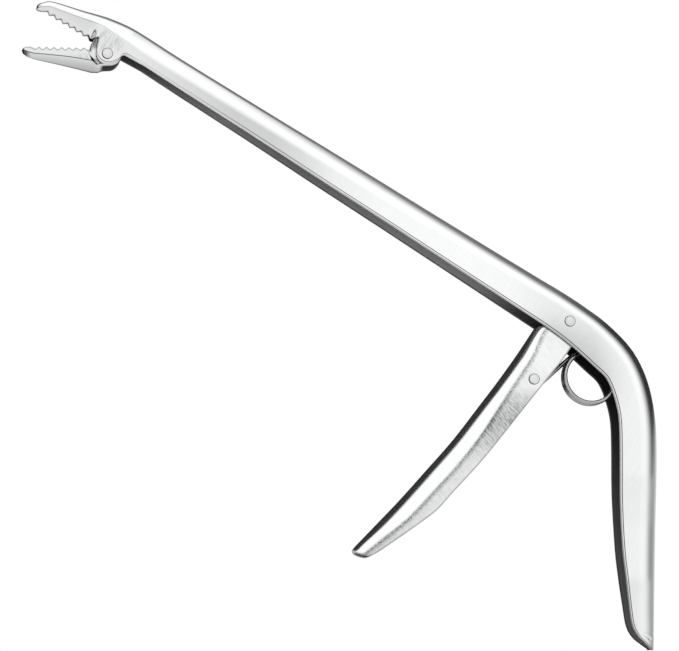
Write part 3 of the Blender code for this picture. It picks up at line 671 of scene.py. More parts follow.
def sweep(name, path, radius, sides):
    """Round wire along 3-D points (mm) with domed ends, carried along without twist."""
    points = [Vector(p) for p in path]
    last = len(points) - 1
    tangents = [
        (points[min(k + 1, last)] - points[max(k - 1, 0)]).normalized() for k in range(len(points))
    ]
    mesh = bmesh.new()
    rings = []

    def add_ring(centre, normal, binormal, ring_radius):
        rings.append([
            mesh.verts.new(
                (centre + (normal * math.cos(t) + binormal * math.sin(t)) * ring_radius) * MM
            )
            for t in (2 * math.pi * s / sides for s in range(sides))
        ])

    normal = tangents[0].orthogonal().normalized()
    for k, (point, tangent) in enumerate(zip(points, tangents)):
        normal = (normal - tangent * normal.dot(tangent)).normalized()
        binormal = tangent.cross(normal)
        if k == 0:
            for e in range(END_RINGS, 0, -1):
                a = math.pi / 2 * e / (END_RINGS + 1)
                centre = point - tangent * radius * 0.6 * math.sin(a)
                add_ring(centre, normal, binormal, radius * math.cos(a))
        add_ring(point, normal, binormal, radius)
        if k == last:
            for e in range(1, END_RINGS + 1):
                a = math.pi / 2 * e / (END_RINGS + 1)
                centre = point + tangent * radius * 0.6 * math.sin(a)
                add_ring(centre, normal, binormal, radius * math.cos(a))
    for ring, following in zip(rings, rings[1:]):
        skin(mesh, ring, following)
    mesh.faces.new(rings[0][::-1])
    mesh.faces.new(rings[-1])
    bmesh.ops.recalc_face_normals(mesh, faces=mesh.faces)
    return new_object(name, mesh)


# ---- folded pieces -------------------------------------------------------
def make_body():
    """Main channel: upper jaw, barrel and handle."""
    ear = spline(EAR_FRONT, step=0.4)
    ear += arc(JAW_PIVOT, EAR_RADIUS, start=172, step=5, count=25)
    ear += spline(EAR_BACK, step=0.3)
    edge_line = (
        UPPER_NOSE
        + teeth(*UPPER_TEETH, side=-1)
        + ear
        + resample([ear[-1]] + BARREL_EDGE[:BARREL_STRAIGHT], step=4.0)[1:]
        + spline(BARREL_EDGE[BARREL_STRAIGHT - 1 :], step=1.5)[1:]
    )
    crown_line = feet(edge_line, spline(CROWN, step=0.25))
    crown_line[: len(UPPER_NOSE_CROWN)] = UPPER_NOSE_CROWN
    stations = [body_station(k, *pair) for k, pair in enumerate(zip(crown_line, edge_line))]
    body = channel("body_sheet", stations)
    drill(body, TRIGGER_PIVOT, RIVET_SHANK + FIT)
    drill(body, JAW_PIVOT, RIVET_SHANK + FIT)
    return body


def make_jaw():
    edge_line = LOWER_NOSE + teeth(*LOWER_TEETH, side=+1)
    pairs = raked(edge_line, spline(LOWER_CROWN, step=0.2))
    pairs[: len(LOWER_NOSE)] = list(zip(LOWER_NOSE_CROWN, LOWER_NOSE))
    knuckle = []
    for (crown0, edge0), (crown1, edge1) in zip([pairs[-1]] + KNUCKLE, KNUCKLE):
        for t in (1 / 3, 2 / 3, 1.0):
            knuckle.append((mix_points(crown0, crown1, t), mix_points(edge0, edge1, t)))
    stations = [jaw_station(k, *pair) for k, pair in enumerate(pairs + knuckle)]
    jaw = channel("lower_jaw_sheet", stations)
    drill(jaw, JAW_PIVOT, RIVET_SHANK + FIT)
    drill(jaw, FRONT_PIN, PIN_RADIUS + FIT)
    return jaw


def make_trigger():
    edge_line = spline(TRIGGER_EDGE, step=1.2)
    crown_line = feet(edge_line, spline(TRIGGER_CROWN, step=0.3))
    crown_line[-1] = TRIGGER_CROWN[-1]
    stations = [trigger_station(crown, edge) for crown, edge in zip(crown_line, edge_line)]
    trigger = channel("trigger_sheet", stations)
    ears = arc(TRIGGER_PIVOT, TRIGGER_EAR_RADIUS, start=-40, step=4, count=61)
    boolean_now(trigger, plate_cutter(ears + TRIGGER_KEEP, half=12), "INTERSECT")
    drill(trigger, TRIGGER_PIVOT, RIVET_SHANK + FIT)
    drill(trigger, SPRING_POST, RIVET_SHANK + FIT)
    drill(trigger, REAR_PIN, PIN_RADIUS + FIT)
    return trigger


# ---- rivets, pins, sleeves -----------------------------------------------
def both_sides(side):
    """The +Y half of a (radius, y) profile, with its mirror image before it."""
    return [(radius, -y) for radius, y in reversed(side)] + side


def rivet(name, centre, half_grip):
    """Shank with a low pressed head outside each wall, a shallow ring struck in its face."""
    seat = half_grip + RIVET_SEAT_GAP
    top = seat + RIVET_HEAD_HEIGHT
    head = RIVET_HEAD
    side = [(RIVET_SHANK, seat), (head - 0.04, seat), (head, seat + 0.04), (head, seat + 0.1)]
    for k in range(1, 7):  # rounded shoulder
        a = math.pi / 2 * k / 6
        rise = (RIVET_HEAD_HEIGHT - 0.13) * math.sin(a)
        side.append((head - 0.22 + 0.22 * math.cos(a), seat + 0.1 + rise))
    # struck ring: (share of the head's radius, depth below its top)
    face = [(0.74, 0.03), (0.69, 0.05), (0.665, 0.08), (0.64, 0.05), (0.6, 0.02), (0.4, 0.005)]
    side += [(head * share, top - drop) for share, drop in face]
    side += [(head * 0.2, top), (0, top)]
    return turned(name, centre, both_sides(side))


def pin(name, centre, radius, half, chamfer=CHAMFER, steps=TURNED_STEPS):
    side = [
        (radius, half - chamfer),
        (radius - chamfer * 0.3, half - chamfer * 0.3),
        (radius - chamfer, half),
        (0, half),
    ]
    return turned(name, centre, both_sides(side), steps=steps)


def sleeve(name, centre, outer, half):
    bore = RIVET_SHANK + FIT
    profile = [
        (bore + CHAMFER, -half), (bore, -half + CHAMFER),
        (bore, half - CHAMFER), (bore + CHAMFER, half),
        (outer - CHAMFER, half), (outer, half - CHAMFER),
        (outer, -half + CHAMFER), (outer - CHAMFER, -half),
    ]
    return turned(name, centre, profile, closed=True)


body = make_body()
jaw = make_jaw()
trigger = make_trigger()

bush_half = TRIGGER_TOP_HALF - SHEET - 0.1
spacer_half = TRIGGER_GRIP_HALF - SHEET - 0.4
# (maker, name, centre, sizes, frame node, body it rides on)
FASTENERS = [
    (rivet, "jaw_rivet", JAW_PIVOT, (FRONT_HALF + 0.09,), "jaw_pivot_rivet", "frame"),
    (rivet, "trigger_rivet", TRIGGER_PIVOT, (BACK_HALF,), "trigger_pivot_rivet", "frame"),
    (rivet, "post_rivet", SPRING_POST, (TRIGGER_GRIP_HALF - 0.07,), "spring_post_rivet", "trigger"),
    (pin, "front_link_pin", FRONT_PIN, (PIN_RADIUS, CHEEK_HALF), "jaw_link_pin", "jaw"),
    (pin, "rear_link_pin", REAR_PIN, (PIN_RADIUS, TRIGGER_TOP_HALF), "trigger_link_pin", "trigger"),
    (sleeve, "pivot_bush", TRIGGER_PIVOT, (BUSH_RADIUS, bush_half), "trigger_pivot_bush", "frame"),
    (sleeve, "post_spacer", SPRING_POST, (SLEEVE_RADIUS, spacer_half), "spring_post_sleeve",
     "trigger"),
]
fasteners = [make(name, centre, *sizes) for make, name, centre, sizes, _, _ in FASTENERS]

# ---- pull rod --------------------------------------------------------------
barrel = math.radians(BARREL_ANGLE)
FRONT_RISE, REAR_RISE = 3.3, 3.1  # the rod's height over the line of its pins, at each end


def along(origin, run, rise):
    """A place run down the barrel's line from origin and rise square to it, upwards."""
    return (
        origin[0] + math.cos(barrel) * run + math.sin(barrel) * rise,
        origin[1] + -math.sin(barrel) * run + math.cos(barrel) * rise,
    )


def make_rod():
    """Wire with a flat eye round each pin."""
    line = spline(
        [
            along(FRONT_PIN, EYE_RADIUS - 0.5, 0),
            along(FRONT_PIN, 3.2, 0.5),
            along(FRONT_PIN, 6.4, FRONT_RISE - 0.4),
            along(FRONT_PIN, 8.6, FRONT_RISE),
            along(FRONT_PIN, 40.0, FRONT_RISE),
            along(REAR_PIN, -40.0, REAR_RISE),
            along(REAR_PIN, -10.2, REAR_RISE),
            along(REAR_PIN, -8.0, REAR_RISE - 0.4),
            along(REAR_PIN, -4.3, 0.4),
            along(REAR_PIN, -EYE_RADIUS + 0.5, 0),
        ],
        step=1.0,
    )
    rod = sweep("pull_wire", [(x, 0.0, z) for x, z in line], ROD_RADIUS * 0.96, ROD_SIDES)
    for centre in (FRONT_PIN, REAR_PIN):
        eye = pin("cutter", centre, EYE_RADIUS, EYE_HALF, EYE_CHAMFER, EYE_STEPS)
        boolean_now(rod, eye, "UNION")
    drill(rod, FRONT_PIN, PIN_RADIUS + EYE_OPEN_FIT, half=4)
    drill(rod, REAR_PIN, PIN_RADIUS + FIT, half=4)
    return rod


rod = make_rod()


# ---- torsion spring ----------------------------------------------------------
def make_spring():
    """The spring, and the counts of path points in its first leg, coil and last leg."""
    turn = 2 * math.pi
    start_angle, end_angle = math.radians(112), math.radians(-8) + turn * COIL_TURNS
    width = COIL_PITCH * (end_angle - start_angle) / turn
    steps = 72 * COIL_TURNS
    coil = []
    for k in range(steps + 1):
        a = lerp(start_angle, end_angle, k / steps)
        coil.append((
            COIL_CENTRE[0] + COIL_RADIUS * math.cos(a),
            lerp(width / 2, -width / 2, k / steps),
            COIL_CENTRE[1] + COIL_RADIUS * math.sin(a),
        ))
    leg_in = spline(TRIGGER_LEG + [coil[0][::2]], step=0.8)[:-1]
    leg_out = spline([coil[-1][::2]] + HANDLE_LEG, step=0.8)[1:]
    wire = [(x, width / 2, z) for x, z in leg_in]
    wire += coil
    wire += [(x, -width / 2, z) for x, z in leg_out]
    counts = (len(leg_in), len(coil), len(leg_out))
    return sweep("spring_coil", wire, WIRE_RADIUS, WIRE_SIDES), counts


spring, spring_counts = make_spring()


# ---- node graphs ----------------------------------------------------------------
class Graph:
    """Short hand for building a node tree."""

    def __init__(self, tree):
        self.tree = tree

    def add(self, kind, **values):
        node = self.tree.nodes.new(kind)
        for key, value in values.items():
            setattr(node, key, value)
        return node

    def link(self, source, target):
        self.tree.links.new(source, target)

    def math(self, first, operation, second=0.0):
        node = self.add("ShaderNodeMath", operation=operation)
        for k, value in enumerate((first, second)):
            if isinstance(value, (int, float)):
                node.inputs[k].default_value = value
            else:
                self.link(value, node.inputs[k])
        return node.outputs[0]

    def times(self, first, second):
        return self.math(first, "MULTIPLY", second)

    def plus(self, first, second):
        return self.math(first, "ADD", second)

    def minus(self, first, second):
        return self.math(first, "SUBTRACT", second)

    def darken(self, tone, share):
        return self.times(tone, self.minus(1.0, share))

    def spread(self, value, over, to, smooth=False):
        """Maps value from the span over to the span to, held at its ends."""
        node = self.add("ShaderNodeMapRange", clamp=True)
        if smooth:
            node.interpolation_type = "SMOOTHSTEP"
        for key, limit in zip(("From Min", "From Max", "To Min", "To Max"), (*over, *to)):
            node.inputs[key].default_value = limit
        self.link(value, node.inputs["Value"])
        return node.outputs["Result"]

    def reading(self, value, rows, start=0.0):
        """Piecewise straight reading of value through (place after start, result) rows."""
        total = None
        for (x0, result0), (x1, result1) in zip(rows, rows[1:]):
            piece = self.spread(value, over=(x0 + start, x1 + start), to=(0.0, result1 - result0))
            total = piece if total is None else self.plus(total, piece)
        return self.plus(total, rows[0][1])


class MaterialGraph(Graph):
    """A material's nodes. Places are in mm, measured from the world's origin."""

    def __init__(self, name):
        self.material = bpy.data.materials.new(name)
        self.material.use_nodes = True
        super().__init__(self.material.node_tree)
        self.shader = self.tree.nodes["Principled BSDF"]

    @cached_property
    def crease(self):
        return self.attribute("crease")

    @cached_property
    def rim(self):
        return self.attribute("rim")

    @cached_property
    def place(self):
        node = self.add("ShaderNodeSeparateXYZ")
        self.link(self.mapped((1.0, 1.0, 1.0)), node.inputs[0])
        return node.outputs

    def attribute(self, name):
        node = self.add("ShaderNodeAttribute", attribute_type="GEOMETRY", attribute_name=name)
        return node.outputs["Fac"]

    def noise(self, vector, scale, detail, roughness):
        node = self.add("ShaderNodeTexNoise")
        node.inputs["Scale"].default_value = scale
        node.inputs["Detail"].default_value = detail
        node.inputs["Roughness"].default_value = roughness
        self.link(vector, node.inputs["Vector"])
        return node.outputs["Fac"]

    def mapped(self, scale, angle=0.0):
        """Coordinates in millimetres, turned about Y by angle, then stretched."""
        coordinate = self.add("ShaderNodeTexCoord")
        mapping = self.add("ShaderNodeMapping", vector_type="POINT")
        mapping.inputs["Rotation"].default_value = (0, angle, 0)
        mapping.inputs["Scale"].default_value = (1000, 1000, 1000)
        self.link(coordinate.outputs["Object"], mapping.inputs["Vector"])
        stretch = self.add("ShaderNodeMapping", vector_type="POINT")
        stretch.inputs["Scale"].default_value = scale
        self.link(mapping.outputs["Vector"], stretch.inputs["Vector"])
        return stretch.outputs["Vector"]

    def near(self, x, z, inner, reach):
        """1 within inner of a place in x and in z, fading to 0 at reach."""
        sides = []
        for axis, middle in (("X", x + PIVOT_X), ("Z", z + PIVOT_Z)):
            away = self.math(self.minus(self.place[axis], middle), "ABSOLUTE")
            sides.append(self.spread(away, over=(inner, reach), to=(1.0, 0.0)))
        return self.times(*sides)

    def bump(self, height, strength, distance):
        node = self.add("ShaderNodeBump")
        node.inputs["Strength"].default_value = strength
        node.inputs["Distance"].default_value = distance
        self.link(height, node.inputs["Height"])
        self.link(node.outputs["Normal"], self.shader.inputs["Normal"])


# ---- layers of tone on the steel -------------------------------------------------
# Each takes the graph and the tone so far and gives back the new tone.
def speckle(graph, tone, amount):
    """Dark grit along the crease."""
    grit = graph.noise(graph.mapped((1.0, 1.0, 1.0)), scale=2.6, detail=5.0, roughness=0.75)
    near = graph.times(
        graph.spread(graph.crease, over=(-0.5, 0.25), to=(0.0, 1.0)),
        graph.spread(graph.crease, over=(0.25, 1.7), to=(1.0, 0.0)),
    )
    dark = graph.times(graph.spread(grit, over=(0.38, 0.6), to=(1.0, 0.15)), near)
    return graph.darken(tone, graph.times(dark, amount))


def outline(graph, tone, amount, start, end, along_x=None):
    """Painted shade line from start to end inside the free edge; along_x also ends it at the upper teeth."""
    line = graph.times(
        graph.spread(graph.rim, over=(start - 0.1, start + 0.02), to=(0.0, 1.0)),
        graph.spread(graph.rim, over=(end - 0.08, end + 0.08), to=(1.0, 0.0)),
    )
    if along_x:
        below_teeth = (87.2 + PIVOT_Z, 87.8 + PIVOT_Z)
        line = graph.times(line, graph.reading(graph.place["X"], along_x, PIVOT_X))
        line = graph.times(line, graph.spread(graph.place["Z"], over=below_teeth, to=(1.0, 0.0)))
    return graph.darken(tone, graph.times(line, amount))


def crease_shade(graph, tone, amount, fade_x=None):
    """Painted shade line on the crease, dying out over the span fade_x."""
    line = graph.times(
        graph.spread(graph.crease, over=(-0.2, -0.02), to=(0.0, 1.0)),
        graph.spread(graph.crease, over=(0.02, 0.3), to=(1.0, 0.0)),
    )
    if fade_x:
        span = (fade_x[0] + PIVOT_X, fade_x[1] + PIVOT_X)
        line = graph.times(line, graph.spread(graph.place["X"], over=span, to=(1.0, 0.0)))
    return graph.darken(tone, graph.times(line, amount))


def fold_shade(graph, tone, depths, tones):
    """Painted shade over the fold, between two depths from the crease."""
    return graph.times(tone, graph.spread(graph.crease, over=depths, to=tones))


def hollow(graph, tone, x, z, reach, amount):
    """Shade round a place, growing towards the free edge."""
    near = graph.near(x, z, inner=reach * 0.3, reach=reach)
    shade = graph.spread(graph.rim, over=(0.0, 11.0), to=(amount, 0.0))
    return graph.darken(tone, graph.times(near, shade))


def far_side_shade(graph, tone, level):
    """Painted shade: scales the tone beyond the mid-plane."""
    return graph.times(tone, graph.spread(graph.place["Y"], over=(-1.0, 1.0), to=(1.0, level)))


# Painted shade: tone by z from the rows.
def shade_along_z(graph, tone, rows):
    return graph.times(tone, graph.reading(graph.place["Z"], rows, PIVOT_Z))


def wall_shade_along_x(graph, tone, rows):
    """Painted shade by x on the walls only."""
    loss = graph.minus(1.0, graph.reading(graph.place["X"], rows, PIVOT_X))
    wall = graph.spread(graph.crease, over=(-1.2, 0.6), to=(0.0, 1.0))
    return graph.darken(tone, graph.times(loss, wall))


def wall_shade_down_z(graph, tone, rows, angle):
    """Patchy painted shade by z on the walls only."""
    loss = graph.minus(1.0, graph.reading(graph.place["Z"], rows, PIVOT_Z))
    clouds = graph.noise(graph.mapped((0.3, 1.0, 1.8), angle), scale=1.1, detail=5.0, roughness=0.7)
    patch = graph.spread(clouds, over=(0.36, 0.6), to=(1.15, 0.3))
    wall = graph.spread(graph.crease, over=(-0.3, 0.4), to=(0.0, 1.0))
    return graph.darken(tone, graph.times(graph.times(loss, patch), wall))


def end_shade(graph, tone, span_x, shares, depth):
    """Painted shade: darkens by shares across span_x, down to a depth below the crease."""
    span = (span_x[0] + PIVOT_X, span_x[1] + PIVOT_X)
    gone = graph.spread(graph.place["X"], over=span, to=shares)
    above = graph.spread(graph.crease, over=(depth - 0.25, depth + 0.1), to=(1.0, 0.0))
    return graph.darken(tone, graph.times(gone, above))


def streaks_and_shade(graph, tone, x, z, reach, angle, most, least):
    """Strokes on the wall round a place, darkening between most and least; a least above 0 is painted shade
    under them.
    """
    strokes = graph.noise(
        graph.mapped((0.12, 1.0, 2.4), angle), scale=1.7, detail=2.0, roughness=0.5
    )
    near = graph.near(x, z, inner=reach * 0.5, reach=reach)
    near = graph.times(near, graph.spread(graph.crease, over=(0.0, 0.8), to=(0.0, 1.0)))
    dark = graph.spread(strokes, over=(0.42, 0.56), to=(most, least))
    return graph.darken(tone, graph.times(dark, near))


def steel(
    name, grey, roughness, angle, grain, scratch, mottle, metal=1.0, sheen=0.5, layers=()
):
    """Steel with fine grain along one angle, sparse scratches, faint marks, then its layers."""
    graph = MaterialGraph(name)
    graph.shader.inputs["Metallic"].default_value = metal
    graph.shader.inputs["Specular IOR Level"].default_value = sheen
    fine = graph.noise(
        graph.mapped((0.05, 3.0, 3.0), angle), scale=2.2, detail=4.0, roughness=0.6
    )
    broad = graph.noise(graph.mapped((0.6, 0.6, 0.6)), scale=0.35, detail=3.0, roughness=0.55)
    lines = graph.noise(
        graph.mapped((0.03, 1.4, 1.4), angle + math.radians(58)),
        scale=1.6, detail=2.0, roughness=0.5,
    )
    lines = graph.spread(lines, over=(0.66, 0.72), to=(0.0, 1.0))
    # a fifth of the grain on the fold, all of it on the walls
    fold_grain = grain * 0.2
    wall = graph.spread(graph.crease, over=(-0.4, 0.5), to=(0.0, 1.0))
    amount = graph.plus(graph.times(wall, grain - fold_grain), fold_grain)

    dip = graph.times(graph.spread(fine, over=(0.3, 0.7), to=(0.24, 0.0)), amount)
    tone = graph.minus(graph.spread(broad, over=(0.3, 0.7), to=(1.0 - mottle, 1.0)), dip)
    tone = graph.times(tone, graph.spread(lines, over=(0.0, 1.0), to=(1.0, 1.0 - 0.18 * scratch)))
    for layer in layers:
        tone = layer(graph, tone)
    colour = graph.add("ShaderNodeCombineColor")
    for k, level in enumerate(grey):
        graph.link(graph.times(tone, level), colour.inputs[k])
    graph.link(colour.outputs["Color"], graph.shader.inputs["Base Color"])

    rough = graph.plus(
        graph.spread(fine, over=(0.2, 0.8), to=(roughness * 0.85, roughness * 1.2)),
        graph.spread(broad, over=(0.3, 0.7), to=(-0.01, 0.02)),
    )
    graph.link(rough, graph.shader.inputs["Roughness"])
    height = graph.minus(graph.times(fine, amount), graph.times(lines, 0.4 * scratch))
    graph.bump(height, strength=0.35, distance=0.00003)
    return graph.material


# ---- the steels ------------------------------------------------------------------
# (z, tone) up the inside of the main channel, painted shade
INSIDE_SHADE_TONE = [
    (-105, 0.27), (-86, 0.234), (-67, 0.168), (-41, 0.07), (-28, 0.05), (-20, 0.03), (-4, 0.02),
    (4, 0.12), (12, 0.5), (20, 0.55), (35, 0.49), (48, 0.4), (65, 0.5), (75, 0.3), (80, 0.15),
    (86, 0.12),
]
# (x, tone) along the main channel's walls, painted shade
FLAT_SHADE_TONE = [
    (-150, 0.86), (-140, 0.82), (-125, 0.74), (-110, 0.66), (-98, 0.67), (-88, 0.76), (-78, 0.9),
    (-60, 0.97), (-38, 1.0), (-20, 0.97), (-8, 0.9), (8, 0.86), (16, 0.91), (24, 0.93),
]
# (z, tone) up the trigger's walls, painted shade
GRIP_SHADE_TONE = [
    (-75, 0.8), (-55, 0.86), (-46, 0.84), (-40, 0.52), (-33, 0.3), (-27, 0.54), (-22, 0.97),
    (-8, 1.0),
]
# (x, strength) of the painted shade line beside the main channel's free edge
EDGE_SHADE_STRENGTH = [
    (-157.5, 0.0), (-155.8, 0.8), (-147, 0.8), (-141, 0.2), (-125, 0.35), (-104, 0.7), (-78, 0.8),
    (-40, 0.95), (28, 1.0),
]
# (z, tone) up the main channel's free edge, painted shade
RIM_SHADE_TONE = [
    (-105, 0.35), (-86, 0.4), (-67, 0.53), (-45, 0.66), (-20, 0.68), (15, 0.7), (35, 0.72),
    (48, 0.85), (65, 1.0), (90, 1.0),
]
SHEET_OUT = steel(
    "polished_sheet_face", grey=(0.975, 0.98, 0.985), roughness=0.12,
    angle=-barrel + math.pi / 2,  # brush marks across the barrel
    grain=0.3, scratch=0.1, mottle=0.015,
    layers=(
        partial(outline, amount=0.92, start=0.28, end=0.54, along_x=EDGE_SHADE_STRENGTH),
        partial(crease_shade, amount=0.4, fade_x=(-158, -138)),
        partial(hollow, x=2.0, z=-11.0, reach=20.0, amount=0.28),
        partial(wall_shade_along_x, rows=FLAT_SHADE_TONE),
        partial(end_shade, span_x=(-174.6, -173.0), shares=(0.8, 0.0), depth=0.1),
        partial(streaks_and_shade, x=-151.5, z=87.0, reach=5.5, angle=math.radians(68), most=0.3, least=0.0),
    ),
)
# inside of the main channel, painted darker by height as shade
SHEET_IN = steel(
    "sheet_inside", grey=(0.62, 0.62, 0.63), roughness=0.6, angle=-barrel,
    grain=0.3, scratch=0.0, mottle=0.06, metal=0.0, sheen=0.0,
    layers=(partial(shade_along_z, rows=INSIDE_SHADE_TONE),),
)
# free edge, its far half and its lower reaches painted darker as shade
SHEET_RIM = steel(
    "sheared_rim", grey=(0.74, 0.74, 0.745), roughness=0.5, angle=-barrel,
    grain=0.4, scratch=0.0, mottle=0.1, metal=0.0, sheen=0.2,
    layers=(partial(far_side_shade, level=0.15), partial(shade_along_z, rows=RIM_SHADE_TONE)),
)
JAW_RIM = steel(
    "jaw_rim", grey=(0.5, 0.5, 0.505), roughness=0.5, angle=-barrel,
    grain=0.4, scratch=0.0, mottle=0.1, metal=0.0, sheen=0.2,
)
JAW_OUT = steel(
    "jaw_sheet_face", grey=(0.955, 0.96, 0.965), roughness=0.14, angle=0.1,
    grain=0.3, scratch=0.2, mottle=0.03,
    layers=(
        partial(outline, amount=0.35, start=0.0, end=0.24),
        partial(crease_shade, amount=1.0),
        partial(fold_shade, depths=(-4.2, -0.2), tones=(0.46, 0.82)),
        # painted dark reflection on the underside of the lower jaw's knuckle
        partial(end_shade, span_x=(-154.3, -153.2), shares=(0.0, 0.94), depth=-0.85),
        partial(end_shade, span_x=(-178.0, -176.4), shares=(0.85, 0.0), depth=0.1),
        # painted shade with streaks on the lower jaw's cheek in front of the knuckle
        partial(
            streaks_and_shade, x=-156.2, z=86.6, reach=2.9, angle=math.radians(84), most=0.95, least=0.55
        ),
    ),
)
# dark inside of the lower jaw: unpolished sheet, darker still as painted shade
JAW_IN = steel(
    "jaw_sheet_inside", grey=(0.2, 0.202, 0.208), roughness=0.5, angle=0.05,
    grain=0.6, scratch=0.2, mottle=0.25, metal=0.3, sheen=0.2,
)
GRIP_OUT = steel(
    "trigger_sheet_face", grey=(0.97, 0.975, 0.98), roughness=0.15, angle=math.radians(-50),
    grain=0.7, scratch=0.9, mottle=0.06,
    layers=(
        partial(speckle, amount=1.0),
        partial(outline, amount=0.4, start=0.0, end=0.2),
        partial(wall_shade_down_z, rows=GRIP_SHADE_TONE, angle=math.radians(-50)),
    ),
)
# dark inside of the trigger: unpolished sheet, darker still as painted shade
GRIP_IN = steel(
    "trigger_sheet_inside", grey=(0.12, 0.122, 0.126), roughness=0.5, angle=math.radians(50),
    grain=0.6, scratch=0.3, mottle=0.25, metal=0.2, sheen=0.2,
)
RIVET_STEEL = steel(
    "pressed_rivet", grey=(0.82, 0.82, 0.825), roughness=0.24, angle=0.4,
    grain=0.5, scratch=0.4, mottle=0.1,
)
# dark ring round each rivet's head: painted shade
RIVET_RIM_SHADE = steel(
    "rivet_rim_shade", grey=(0.12, 0.12, 0.125), roughness=0.35, angle=0.4,
    grain=0.3, scratch=0.0, mottle=0.1, metal=0.0, sheen=0.2,
)
ROD_STEEL = steel(
    "pull_wire_steel", grey=(0.42, 0.42, 0.43), roughness=0.35, angle=-barrel,
    grain=0.5, scratch=0.3, mottle=0.2,
)
WIRE_STEEL = steel(
    "spring_wire_steel", grey=(0.46, 0.46, 0.47), roughness=0.2, angle=0.0,
    grain=0.4, scratch=0.3, mottle=0.12,
)


# ---- dressing the pieces -----------------------------------------------------------
def smooth(obj, angle):
    """Smooth shading, sharp where faces meet at more than angle degrees."""
    obj.data.shade_smooth()
    obj.data.set_sharp_from_angle(angle=math.radians(angle))
    weighted = obj.modifiers.new("weighted", "WEIGHTED_NORMAL")
    weighted.keep_sharp = True
    weighted.weight = 60


def dress(obj, materials, node, body_name):
    slots = obj.data.materials
    for k, material in enumerate(materials):
        if k < len(slots):
            slots[k] = material
        else:
            slots.append(material)
    while len(slots) > len(materials):
        slots.pop()
    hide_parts(node)
    if body_name:
        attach(obj, body_name)


def mark_rivet_rim_shade(obj, centre):
    """Painted shade on the faces round the rim of a rivet's head."""
    for face in obj.data.polygons:
        if distance(from_pivot(face.center.x, face.center.z), centre) > RIVET_HEAD - 0.3:
            face.material_index = 1


for obj in (body, jaw, trigger, rod):
    smooth(obj, angle=34)
smooth(spring, angle=60)
BODY_STEELS = (SHEET_OUT, SHEET_IN, SHEET_RIM)
dress(body, BODY_STEELS, "main_channel_body", "frame")
dress(jaw, (JAW_OUT, JAW_IN, JAW_RIM), "lower_jaw", "jaw")
dress(trigger, (GRIP_OUT, GRIP_IN, JAW_RIM), "trigger_lever", "trigger")
dress(rod, (ROD_STEEL,), "pull_rod", "rod")
dress(spring, (WIRE_STEEL,), "torsion_spring", None)
for obj, (make, _, centre, _, node, body_name) in zip(fasteners, FASTENERS):
    smooth(obj, angle=30)
    dress(obj, (RIVET_STEEL, RIVET_RIM_SHADE), node, body_name)
    if make is rivet:
        mark_rivet_rim_shade(obj, centre)


def spring_weights(leg_in, coil, leg_out):
    """Share of the trigger's motion for every point of the spring's mesh, ring by ring."""
    total = leg_in + coil + leg_out
    weights = []
    for ring in range(total + 2 * END_RINGS):
        k = min(max(ring - END_RINGS, 0), total - 1)
        if k < leg_in:
            weight = lerp(1.0, 0.62, (k / leg_in) ** 3)
        elif k < leg_in + coil:
            weight = lerp(0.62, 0.38, (k - leg_in) / coil)
        else:
            weight = lerp(0.38, 0.0, ((k - leg_in - coil) / leg_out) ** 0.5)
        weights += [weight] * WIRE_SIDES
    return weights


# the first leg turns with the trigger, the last stays in the handle, the coil rides between
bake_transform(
    spring, "frame", "trigger", (PIVOT_X * MM + 0.02, 0, 0), (PIVOT_X * MM - 0.02, 0, 0)
)
blend_values = spring.data.attributes["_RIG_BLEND"].data
blend_values.foreach_set("value", spring_weights(*spring_counts))


# ---- floor and camera --------------------------------------------------------------
FLOOR_GAP = 0.0004  # metres below the tool's lowest point


def floor_paint():
    """Pale paint, clear from below and in reflections."""
    graph = MaterialGraph("pale_floor_paint")
    graph.shader.inputs["Base Color"].default_value = (0.93, 0.93, 0.93, 1)
    graph.shader.inputs["Roughness"].default_value = 0.9
    geometry = graph.add("ShaderNodeNewGeometry")
    rays = graph.add("ShaderNodeLightPath")
    hidden = graph.math(
        geometry.outputs["Backfacing"], "MAXIMUM", rays.outputs["Is Glossy Ray"]
    )
    clear = graph.add("ShaderNodeBsdfTransparent")
    mix = graph.add("ShaderNodeMixShader")
    graph.link(hidden, mix.inputs["Fac"])
    graph.link(graph.shader.outputs["BSDF"], mix.inputs[1])
    graph.link(clear.outputs["BSDF"], mix.inputs[2])
    graph.link(mix.outputs["Shader"], graph.tree.nodes["Material Output"].inputs["Surface"])
    return graph.material


def make_floor():
    mesh = bmesh.new()
    bmesh.ops.create_grid(mesh, x_segments=24, y_segments=24, size=3.0)
    # new_object adds the pivot's place, so it is taken off here
    height = CAD_BOX[0][2] - FLOOR_GAP - PIVOT_Z * MM
    bmesh.ops.translate(mesh, verts=mesh.verts, vec=(-PIVOT_X * MM, 0, height))
    floor = new_object("pale_floor", mesh)
    floor.data.materials.clear()
    floor.data.materials.append(floor_paint())
    return floor


floor = make_floor()
for place in PLACES:
    bpy.data.materials.remove(place)

AZIMUTH, ELEVATION = math.radians(-11.3), math.radians(-9.3)
CAMERA_DISTANCE = 1.5  # metres
SENSOR_WIDTH, LENS = 36.0, 246.53903  # mm
# the camera's frame: back points from the tool to the camera
back = Vector((
    math.sin(AZIMUTH) * math.cos(ELEVATION),
    -math.cos(AZIMUTH) * math.cos(ELEVATION),
    math.sin(ELEVATION),
))
right = Vector((math.cos(AZIMUTH), math.sin(AZIMUTH), 0.0))
up = back.cross(right)


